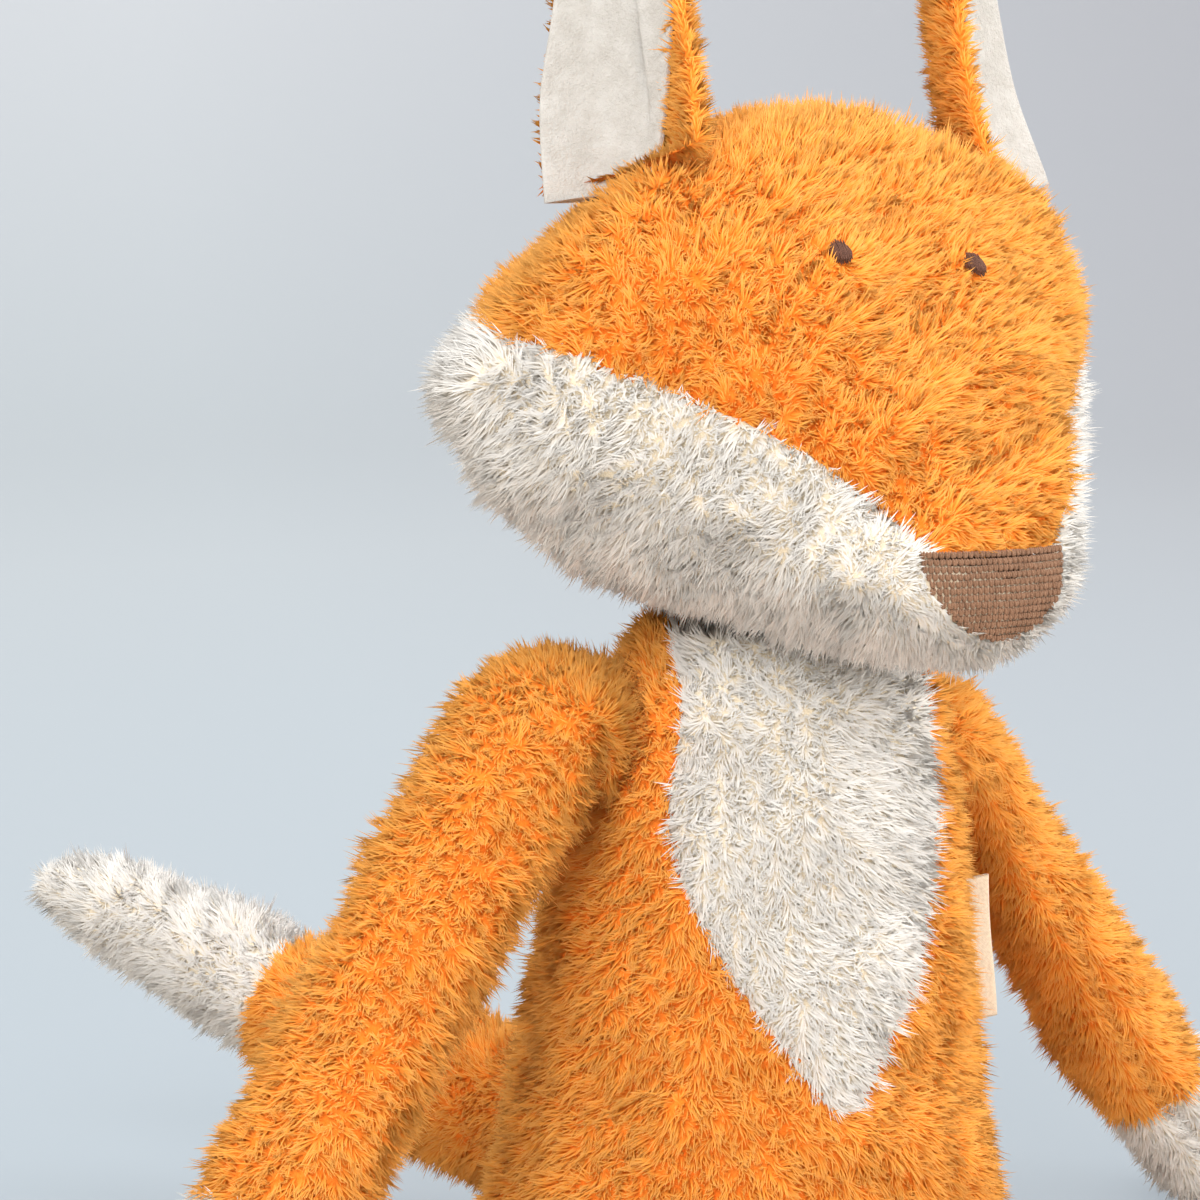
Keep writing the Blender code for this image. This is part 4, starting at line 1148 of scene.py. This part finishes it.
def make_tail(context):
    form = limb_rings(tail_path(), TAIL_LENGTH, TAIL_SWELL_SHARES, TAIL_WIDTH, TAIL_WIDTH)
    make_limb(context, "tail", "tail_tip", form, TAIL_TIP_LENGTH, 91)


# Ears

EAR_HEIGHT, EAR_WIDTH, EAR_CUP, EAR_WAVE = 0.080, 0.040, 0.0115, 0.0011
EAR_LEAN_BACK, EAR_LEAN_IN = math.radians(15), math.radians(7)
EAR_FACINGS = {"right_ear": (-1, math.radians(66)), "left_ear": (1, math.radians(32))}
EAR_OUTLINE_SHARES = (
    (-0.16, 1.00),
    (0.00, 0.98),
    (0.14, 0.90),
    (0.30, 0.79),
    (0.48, 0.68),
    (0.66, 0.54),
    (0.82, 0.36),
    (0.92, 0.21),
    (1.00, 0.08),
)


def ear_frame(name):
    side, facing = EAR_FACINGS[name]
    turn = head_frame().to_3x3().to_4x4()
    lean = Matrix.Rotation(-side * EAR_LEAN_IN, 4, "Y") @ Matrix.Rotation(-EAR_LEAN_BACK, 4, "X")
    stand = lean @ Matrix.Rotation(side * facing, 4, "Z")
    place = Matrix.Translation(Vector(joint_of(f"{name}_bend")["pos_m"]))
    return place @ turn @ stand @ Matrix.Translation((0, -EAR_CUP / 2, 0))


# How much of the front half the pile covers instead of the lining, by height
EAR_PLUSH_SHARES = ((-0.16, 0.62), (-0.04, 0.50), (0.10, 0.30), (0.24, 0.10), (0.40, 0.04), (1.00, 0.0))
# How squarely a leaf's rim is rounded, from where its foot reaches, and how much the foot slants
EAR_RIM_POWER, EAR_FOOT_SPAN, EAR_FOOT_SLANT = 0.45, (-0.16, 0.10), 0.0025
# The pleat's place, the reach of its swelling and its valley, how deep the valley is, and where it begins
PLEAT_PLACE, PLEAT_SWELLING, PLEAT_VALLEY, PLEAT_DEPTH, PLEAT_SPAN = 0.22, 0.45, 0.09, 1.15, (-0.05, 0.10)
# Towards its back edge, between these shares of its width, an ear's pile is shorter and combed outwards
EAR_EDGE_SHARES, EAR_COMB_UP, EAR_COMB_OUT, EAR_EDGE_SHORTENING = (0.55, 0.9), 0.9, -0.5, 0.4
# Each leaf's faces as offsets from the ear's middle surface, its foot's drop, width share and pleat
EAR_LINING = (0.0004, 0.0026, 0.0064, 1.02, 0.0028)
EAR_BACKING = (-0.0030, 0.0002, 0.0026, 0.905, 0.0)


def ear_leaf(name, low, high, drop, width_share, pleat):
    """A closed leaf of cloth, rounded at its rim, which way its points face and how bare they are.

    A leaf with a pleat is the lining, and is cut back where the pile covers it.
    """
    side = EAR_FACINGS[name][0]
    count = 160 if pleat else 72
    turns = (np.arange(count) + 0.5) * math.tau / count
    whole, lift = (np.sign(wave) * np.abs(wave) ** EAR_RIM_POWER for wave in (np.cos(turns), np.sin(turns)))
    shares = np.linspace(0.0, 1.0, 46)
    rows = through(EAR_OUTLINE_SHARES, shares)
    rings = np.empty((len(rows), count, 3))
    bare = np.empty((len(rows), count))
    for n, (up, half) in enumerate(rows):
        covered = np.interp(up, *np.array(EAR_PLUSH_SHARES).T)
        bare[n] = 1 - covered + whole * side
        across = np.where(whole * side < 0, whole * (1 - covered), whole) if pleat else whole
        # The rim closes softly at the tip and at the foot
        close = min(1.0, (shares[n] / 0.03 + 0.35), ((1 - shares[n]) / 0.05 + 0.25))
        slope = 2 * EAR_CUP * across / (EAR_WIDTH / 2)
        inward = unit(np.stack([-slope, -np.ones(count), np.zeros(count)], axis=1))
        foot = 1 - smooth_step(up, *EAR_FOOT_SPAN)
        # The pleat is a narrow valley in a broad swelling, and the lining's foot stands a little forward
        beside = across * side + PLEAT_PLACE
        fold = bell(beside, PLEAT_SWELLING) - PLEAT_DEPTH * bell(beside, PLEAT_VALLEY)
        fold *= smooth_step(up, *PLEAT_SPAN)
        offset = (low + high) / 2 + lift * (high - low) / 2 * close + pleat * (fold + foot)
        # A loose leaf waves a little
        wave = EAR_WAVE * math.sin(up * 7.0 + side) * across**2
        rings[n, :, 0] = across * half * width_share * EAR_WIDTH / 2
        rings[n, :, 1] = EAR_CUP * (1 - across**2) * half + wave
        rings[n, :, 2] = up * EAR_HEIGHT
        rings[n] += inward * offset[:, None]
        rings[n, :, 2] -= foot * (drop - EAR_FOOT_SLANT * across)
    poles = rings[0].mean(axis=0), rings[-1].mean(axis=0) + (0, 0, 0.0008)
    mesh = grid_mesh(f"{name}_leaf", rings, *(tuple(pole) for pole in poles))
    return mesh, np.append(np.tile(lift, len(rows)), (0, 0)), np.append(bare.ravel(), (0, 0))


def make_ears(context):
    settings = context.scene.fox_pile
    for name, (side, _) in EAR_FACINGS.items():
        place = ear_frame(name)
        lining, _, _ = ear_leaf(name, *EAR_LINING)
        lining.transform(place)
        lining.materials.append(finish_of("lining felt"))
        felt = object_of(f"{name}_felt", lining)
        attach(felt, name)
        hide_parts(f"{name}_lining")

        mesh, lift, bare = ear_leaf(name, *EAR_BACKING)
        points = points_of(mesh)
        back_edge = smooth_step(points[:, 0] * side / (EAR_WIDTH / 2), *EAR_EDGE_SHARES)
        flow = np.zeros_like(points)
        flow[:, 0], flow[:, 2] = EAR_COMB_OUT * side * back_edge, EAR_COMB_UP
        pile = (0.75 + 0.1 * (lift < 0)) * (1 - EAR_EDGE_SHORTENING * back_edge)
        combed(mesh, flow, settings, seed=101 + side, pile=pile)
        mesh.transform(place)
        turn_combing(mesh, place)
        backing = make_backing(f"{name}_backing", mesh, [], name, [])
        inside = 0.0015 * np.maximum(0.25 - lift - 0.6 * back_edge, np.minimum(-bare, 1) * 4)
        fur, replaced = f"{name}_fur", [f"{name}_outer"]
        grow_pile(context, fur, backing, "orange pile", name, replaced, 105 + side, inside, on_floor=False)


# Nose, eyes and label


def outer_head():
    """The head's outer form, for what lies on it."""
    mesh = grid_mesh("outer_head", head_rings(*HEAD_MESH), *head_poles())
    shell = bmesh.new()
    shell.from_mesh(mesh)
    tree = BVHTree.FromBMesh(shell)
    shell.free()
    bpy.data.meshes.remove(mesh)
    return tree


def seen_from_front(tree, side, level):
    """Where a line straight back into the face meets it, and the normal there."""
    return tree.ray_cast(Vector((side, -0.5, level)), Vector((0, 1, 0)))[:2]


def stitch_tree():
    """Stitches stand on points, turned and sized as the points say."""
    if "Stitches" in bpy.data.node_groups:
        return bpy.data.node_groups["Stitches"]
    group = Group("Stitches", Stitch="Object", Finish="Material")
    points = group.node("GeometryNodeMeshToPoints", {}, {0: group.given["Geometry"]})
    turn = group.node("FunctionNodeEulerToRotation", {}, {0: group.written("turn")})
    return group.planted(points, group.given["Stitch"], turn, group.written("size"))


def thread_piece():
    """One plump stitch of unit length and width, which its tree sizes."""
    found = bpy.data.objects.get("stitch")
    if found:
        return found
    shell = bmesh.new()
    bmesh.ops.create_uvsphere(shell, u_segments=8, v_segments=6, radius=0.5)
    mesh = bpy.data.meshes.new("stitch")
    shell.to_mesh(mesh)
    shell.free()
    mesh.shade_smooth()
    piece = object_of("stitch", mesh)
    piece.hide_render = True
    bpy.context.view_layer.update()
    return piece


def stitched(name, spots, finish, node):
    """A piece of many stitches on the head: each spot is a place, a turn as a matrix, and a size."""
    mesh = bpy.data.meshes.new(name)
    mesh.from_pydata([tuple(place) for place, _, _ in spots], [], [])
    put_attribute(mesh, "size", np.array([size for _, _, size in spots]))
    put_attribute(mesh, "turn", np.array([tuple(turn.to_euler()) for _, turn, _ in spots]))
    piece = object_of(name, mesh)
    grown(piece, stitch_tree(), Stitch=thread_piece(), Finish=finish_of(finish))
    drop_attributes(piece.data, "size", "turn")
    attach(piece, "head")
    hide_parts(node)


def facing(normal):
    """A turn whose Z looks along the normal and whose Y keeps as near upward as it can."""
    across = Vector((0, 0, 1)).cross(normal).normalized()
    return Matrix((across, normal.cross(across), normal)).transposed()


# The cap under the nose's knit: its inset, how deep it lies, how much deeper at its rim, and its thickness
NOSE_INSET, NOSE_CAP_DEPTH, NOSE_RIM_DEPTH, NOSE_CAP_THICKNESS = 0.0002, 0.0014, 0.0011, 0.0050
# A stitch of the knit as shares of a column and a row, its lean, and its depth
KNIT_WIDE_SHARE, KNIT_HIGH_SHARE, KNIT_DEEP_SHARE, KNIT_SHIFT_SHARE = 0.54, 1.08, 0.62, 0.19
KNIT_LEAN, KNIT_DEPTH = -0.17, 0.0010


def make_nose_cap(tree, world):
    """The padded cap under the knit."""
    half, reach = NOSE_WIDTH / 2 - NOSE_INSET, NOSE_HEIGHT - NOSE_INSET
    outline = [(-half + 2 * half * n / 24, 0.0) for n in range(25)]
    outline += [(half * math.cos(a), -reach * math.sin(a)) for a in np.linspace(0, math.pi, 40)[1:-1]]
    outline, middle = np.array(outline), np.array((0.0, -reach * 0.42))
    rings = []
    for share in np.linspace(1.0, 0.04, 16):
        ring = []
        for across, down in middle + (outline - middle) * share:
            spot, normal = seen_from_front(tree, FACE_SIDE + across, NOSE_LEVEL + down)
            ring.append(tuple(spot - normal * (NOSE_CAP_DEPTH + NOSE_RIM_DEPTH * share**6)))
        rings.append(ring)
    rings = np.array([rings[0], *rings])
    rings[0, :, 1] += NOSE_CAP_THICKNESS
    mesh = grid_mesh("nose_cap", rings, *(tuple(rings[n].mean(axis=0)) for n in (0, -1)))
    mesh.transform(world)
    mesh.materials.append(finish_of("nose backing"))
    cap = object_of("nose_cap", mesh)
    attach(cap, "head")


def make_nose(context):
    """Rows of plump double stitches, even along the surface, on a padded cap."""
    settings = context.scene.fox_face
    column, row = settings.knit_column, settings.knit_row
    tree, world = outer_head(), head_frame()
    rng = np.random.default_rng(7)
    make_nose_cap(tree, world)
    spots = []
    for down in np.arange(0.35, NOSE_HEIGHT / row, 1.0) * row:
        width = (NOSE_WIDTH / 2 - NOSE_INSET) * math.sqrt(max(1 - (down / NOSE_HEIGHT) ** 2, 0))
        sides = FACE_SIDE + np.linspace(-width, width, 60)
        line = [seen_from_front(tree, side, NOSE_LEVEL - down) for side in sides]
        places = np.array([tuple(spot) for spot, _ in line])
        run = run_along(places)
        count = int(run[-1] / column)
        for n in range(count + 1):
            at = run[-1] / 2 + (n - count / 2) * column
            if not 0 <= at <= run[-1]:
                continue
            normal = line[int(np.searchsorted(run, at).clip(0, 59))][1]
            spot = Vector([float(np.interp(at, run, places[:, k])) for k in range(3)])
            stand = facing(normal)
            for lean in (-1, 1):
                size = (column * KNIT_WIDE_SHARE, row * KNIT_HIGH_SHARE, column * KNIT_DEEP_SHARE)
                size = rng.uniform(0.9, 1.12, 3) * size
                tip = Matrix.Rotation(lean * KNIT_LEAN + rng.normal(0, 0.07), 3, "Z")
                shift = stand @ Vector((lean * column * KNIT_SHIFT_SHARE, 0, -KNIT_DEPTH))
                spots.append((world @ (spot + shift), world.to_3x3() @ stand @ tip, size))
    stitched("nose_knit", spots, "nose cloth", "nose")


def make_eyes(context):
    """Each eye is a small oval of upright satin stitches in two layers, a little higher than wide."""
    thread = context.scene.fox_face.thread_width
    world, rng = head_frame(), np.random.default_rng(17)
    for name, side in (("right_eye", -1), ("left_eye", 1)):
        place = FACE_SIDE + side * EYE_SPACING / 2, EYE_PLACE + side * EYE_SLANT
        spot, stand = head_surface(*place), facing(head_normal(*place))
        spots = []
        count = int(EYE_DIAMETER / thread * 1.35)
        for depth, height_share in ((-0.0007, 1.06), (-0.0001, 0.90)):
            for n in range(count):
                share = -1 + 2 * (n + 0.5) / count
                chord = math.sqrt(1 - share**2) * EYE_DIAMETER * height_share
                lean = Matrix.Rotation(rng.normal(0.10, 0.06), 3, "Z")
                lift = depth + EYE_DOME * (1 - share**2)
                shift = stand @ Vector((share * EYE_DIAMETER * 0.47, rng.normal(0, 0.0002), lift))
                size = (thread * rng.uniform(0.95, 1.25), chord, thread * 1.3)
                spots.append((world @ (spot + shift), world.to_3x3() @ stand @ lean, size))
        stitched(f"{name}_stitches", spots, "eye thread", name)


LABEL_REACH, LABEL_HEIGHT, LABEL_PLY, LABEL_GAP = 0.0110, 0.036, 0.00042, 0.00035
LABEL_IN_SEAM, LABEL_BEND = 0.002, 0.0009
# How much the label bows from its seam to its bend, and sways along its height, with both waves' turns
LABEL_BOW, LABEL_BOW_TURN, LABEL_SWAY, LABEL_SWAY_RATE, LABEL_SWAY_START = 0.0004, 3.0, 0.0006, 140, 0.6
# The weave's map counts fiftieths of a metre
WEAVE_SCALE = 50


def joint_of(name):
    return next(joint for joint in frame["record"]["behaviour"]["joints"] if joint["name"] == name)


def label_profile():
    """The folded strip seen from above: out along one ply, round the bend and back along the other."""
    half = LABEL_GAP + LABEL_PLY * 0.5
    straight = LABEL_REACH - LABEL_BEND
    steps = np.linspace(-LABEL_IN_SEAM, straight, 16)
    bows = LABEL_BOW * np.sin(steps / LABEL_REACH * LABEL_BOW_TURN)
    turns = np.linspace(0, math.pi, 9)[1:-1]
    bend = np.stack([straight + LABEL_BEND * np.sin(turns), -half * np.cos(turns)], axis=1)
    outer, inner = (np.stack([steps, side * half - bows], axis=1) for side in (-1, 1))
    return np.concatenate([outer, bend, inner[::-1]])


def make_label(context):
    """A strip of cloth folded over into a loop, whose two ends are caught in the side seam."""
    joint = joint_of("label_flap")
    along, root = Vector(joint["axis"]).normalized(), Vector(joint["pos_m"])
    across = Vector((0, 1, 0))
    outward = across.cross(along).normalized()
    outward = outward if outward.x > 0 else -outward
    profile = label_profile()
    run = run_along(profile)
    levels = np.linspace(-LABEL_HEIGHT / 2, LABEL_HEIGHT / 2, 40)
    points, faces, places = [], [], []
    for level in levels:
        sway = LABEL_SWAY * math.sin(level * LABEL_SWAY_RATE + LABEL_SWAY_START)
        for out, deep in profile:
            flare = (out / LABEL_REACH) ** 2 * sway
            points.append(tuple(root + outward * out + across * (deep + flare) + along * level))
    wide = len(profile)
    for n in range(len(levels) - 1):
        for m in range(wide - 1):
            corners = (n, m), (n, m + 1), (n + 1, m + 1), (n + 1, m)
            faces.append([up * wide + out for up, out in corners])
            places += [(run[out], levels[up]) for up, out in corners]
    mesh = bpy.data.meshes.new("label_loop")
    mesh.from_pydata(points, [], faces)
    write_all(mesh.uv_layers.new(name="Weave").data, "uv", np.array(places, np.float32) * WEAVE_SCALE)
    mesh.shade_smooth()
    mesh.materials.append(finish_of("label cloth"))
    piece = object_of("label_loop", mesh)
    ply = piece.modifiers.new("ply", "SOLIDIFY")
    ply.thickness, ply.offset = LABEL_PLY, 0.0
    context.view_layer.update()
    shape = piece.evaluated_get(context.evaluated_depsgraph_get())
    solid = bpy.data.meshes.new_from_object(shape)
    piece.modifiers.remove(ply)
    piece.data = solid
    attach(piece, "label")
    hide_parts("side_label")


# Stage

# The sweep: its floor's radius, the radius of its bend into the wall, and the wall's height
FLOOR_RADIUS, BEND_RADIUS, WALL_HEIGHT = 2.2, 0.9, 2.6
LAMPS = (
    ("window", (-1.1, -1.5, 1.6), 1.5),
    ("fill", (1.5, -0.9, 0.9), 1.4),
    ("top", (0.1, 0.5, 1.9), 1.3),
)
LAMP_AIM = Vector((0, 0, 0.16))
CAMERA_PLACE, CAMERA_LENS, SENSOR_WIDTH = (-0.3637, -0.7329, 0.2910), 104.55, 36.0
CAMERA_TURN = (math.radians(82), 0, math.radians(-24))


def sweep_finish(settings):
    """Pale paper that the camera sees at its own brightness, deeper to the right and towards the toy."""
    made = Finish("pale sweep", roughness=0.9)
    side, depth, level = made.axes(made.object_place())
    rise = ((level - 0.02) * 2.2).clamped()
    tone = made.ramp(rise, (0.0, tuple(settings.floor_colour)), (1.0, tuple(settings.wall_colour)))
    far = depth.absolute()
    # Painted shade: the paper's tone deepens to the right and towards the toy
    painted_shade_right = ((side - far * 0.25) * 0.8).clamped()
    near = (far * -0.7 + 1.0).clamped() * 0.9
    tone = made.mixed(near, tone, (0.49, 0.56, 0.62))
    tone = made.mixed(painted_shade_right, tone, (0.49, 0.505, 0.55))
    camera = made.node("ShaderNodeLightPath", output="Is Camera Ray")
    made.colour(made.mixed(camera, (0.74, 0.71, 0.67), tone))
    glow = made.node("ShaderNodeEmission", {}, {"Color": tone, "Strength": 1.0})
    plain = Socket(made, made.shader.outputs[0])
    mixed = made.node("ShaderNodeMixShader", {}, {0: camera * 0.72, 1: plain, 2: glow})
    made.tree.links.new(mixed.output, made.tree.nodes["Material Output"].inputs["Surface"])
    return made.material


def make_sweep(settings):
    """A round floor that sweeps up into a wall all the way round."""
    inner, sides = 0.02, 64
    edge = inner + FLOOR_RADIUS
    profile = [(inner + FLOOR_RADIUS * n / 8, 0.0) for n in range(9)]
    for turn in np.linspace(0.15, math.pi / 2, 10):
        profile.append((edge + BEND_RADIUS * math.sin(turn), BEND_RADIUS - BEND_RADIUS * math.cos(turn)))
    profile.append((edge + BEND_RADIUS, WALL_HEIGHT))
    turns = np.arange(sides) * math.tau / sides
    rings = [np.stack([r * np.cos(turns), r * np.sin(turns), np.full(sides, z)], axis=1) for r, z in profile]
    mesh = grid_mesh("floor_sweep", np.array(rings), (0, 0, 0))
    mesh.flip_normals()
    mesh.materials.append(sweep_finish(settings))
    object_of("floor_sweep", mesh)


def make_stage(context):
    scene, settings = context.scene, context.scene.fox_stage
    make_sweep(settings)
    world = bpy.data.worlds.new("soft room")
    scene.world = world
    world.use_nodes = True
    ground = world.node_tree.nodes["Background"]
    ground.inputs["Color"].default_value = (1.0, 0.98, 0.95, 1)
    ground.inputs["Strength"].default_value = settings.room_light
    for name, place, size in LAMPS:
        light = bpy.data.lights.new(name, "AREA")
        light.size, light.energy = size, getattr(settings, f"{name}_light")
        lamp = object_of(name, light)
        lamp.location = place
        lamp.rotation_euler = (LAMP_AIM - Vector(place)).to_track_quat("-Z", "Y").to_euler()
        lamp.visible_glossy = False
    scene.view_settings.view_transform = "Standard"

    camera = bpy.data.cameras.new("camera")
    camera.lens, camera.sensor_width, camera.clip_end = CAMERA_LENS, SENSOR_WIDTH, 20.0
    scene.camera = object_of("camera", camera)
    scene.camera.location, scene.camera.rotation_euler = CAMERA_PLACE, CAMERA_TURN


# What a user can change


def number_of(name, words, default, **kind):
    return bpy.props.FloatProperty(name=name, description=words, default=default, **kind)


def length_of(name, words, default):
    return number_of(name, words, default, unit="LENGTH")


def colour_of(name, words, default):
    return bpy.props.FloatVectorProperty(name=name, description=words, default=default, subtype="COLOR")


class PileSettings(bpy.types.PropertyGroup):
    length: length_of("Length", "Length of a tuft of the pile", 0.0038)
    width: length_of("Width", "Width of a tuft at its root", 0.00064)
    density: number_of("Tufts", "Tufts on a square metre of cloth", 2900000.0)
    lean: number_of("Lean", "How far the pile lies down", 0.5)
    whorl: number_of("Whorl", "How strongly whorls stir the combing", 0.42)
    whorl_size: length_of("Whorl size", "Distance over which the combing turns", 0.026)
    gather: number_of("Gather", "How far tips draw together, in lengths of a tuft", 0.34)
    gather_size: length_of("Gather size", "Distance between gathered clumps", 0.0038)
    ruffle: number_of("Ruffle", "How much single tufts stray", 0.20)
    sink: length_of("Cloth depth", "Depth of the cloth under the pile's tips", 0.0029)
    softness: number_of("Softness", "How far light spreads between tufts", 0.96, subtype="FACTOR")


class FaceSettings(bpy.types.PropertyGroup):
    knit_row: length_of("Knit row", "Height of one row of the nose's knit", 0.0016)
    knit_column: length_of("Knit column", "Width of one stitch of the nose's knit", 0.00155)
    thread_width: length_of("Thread", "Width of the eyes' embroidery thread", 0.00055)


class StageSettings(bpy.types.PropertyGroup):
    floor_colour: colour_of("Floor", "Colour of the floor", (0.60, 0.655, 0.70))
    wall_colour: colour_of("Wall", "Colour of the wall", (0.70, 0.735, 0.78))
    room_light: number_of("Room", "Light from all round", 0.88)
    window_light: number_of("Window", "Soft light from the front, in watts", 44.0)
    fill_light: number_of("Fill", "Soft light from the fox's left, in watts", 26.0)
    top_light: number_of("Top", "Soft light from above, in watts", 14.0)


def operator(name, label, words, make):
    """An operator that makes one piece or one group of like pieces."""

    def execute(self, context):
        make(context)
        return {"FINISHED"}

    holds = {"bl_idname": f"fox.{name}", "bl_label": label, "__doc__": words, "execute": execute}
    return type(f"FOX_OT_{name}", (bpy.types.Operator,), holds)


OPERATORS = (
    operator("stage", "Stage", "Floor, light and camera", make_stage),
    operator("torso", "Torso", "Body and bib", make_torso),
    operator("head", "Head", "Furred head", make_head),
    operator("arms", "Arms", "Both arms with their paws", make_arms),
    operator("legs", "Legs", "Both legs with their feet", make_legs),
    operator("tail", "Tail", "Tail with its white tip", make_tail),
    operator("ears", "Ears", "Both ears with their linings", make_ears),
    operator("nose", "Nose", "Knitted nose", make_nose),
    operator("eyes", "Eyes", "Stitched eyes", make_eyes),
    operator("label", "Label", "Cloth loop in the side seam", make_label),
)


class FOX_PT_panel(bpy.types.Panel):
    """Sizes, and a button for each group of pieces"""

    bl_label = "Plush fox"
    bl_idname = "FOX_PT_panel"
    bl_space_type = "VIEW_3D"
    bl_region_type = "UI"
    bl_category = "Plush fox"

    def draw(self, context):
        for settings in (context.scene.fox_pile, context.scene.fox_face, context.scene.fox_stage):
            box = self.layout.box()
            for name in settings.bl_rna.properties.keys():
                if name not in ("name", "rna_type"):
                    box.prop(settings, name)
        for made in OPERATORS:
            self.layout.operator(made.bl_idname)


CLASSES = (PileSettings, FaceSettings, StageSettings, *OPERATORS, FOX_PT_panel)


def register():
    for made in CLASSES:
        bpy.utils.register_class(made)
    bpy.types.Scene.fox_pile = bpy.props.PointerProperty(type=PileSettings)
    bpy.types.Scene.fox_face = bpy.props.PointerProperty(type=FaceSettings)
    bpy.types.Scene.fox_stage = bpy.props.PointerProperty(type=StageSettings)


def unregister():
    del bpy.types.Scene.fox_stage
    del bpy.types.Scene.fox_face
    del bpy.types.Scene.fox_pile
    for made in reversed(CLASSES):
        bpy.utils.unregister_class(made)


def main():
    register()
    for made in OPERATORS:
        getattr(bpy.ops.fox, made.bl_idname.split(".")[1])()
    for name in ("tuft", "stitch"):
        bpy.data.objects.remove(bpy.data.objects[name])


if __name__ == "__main__":
    main()
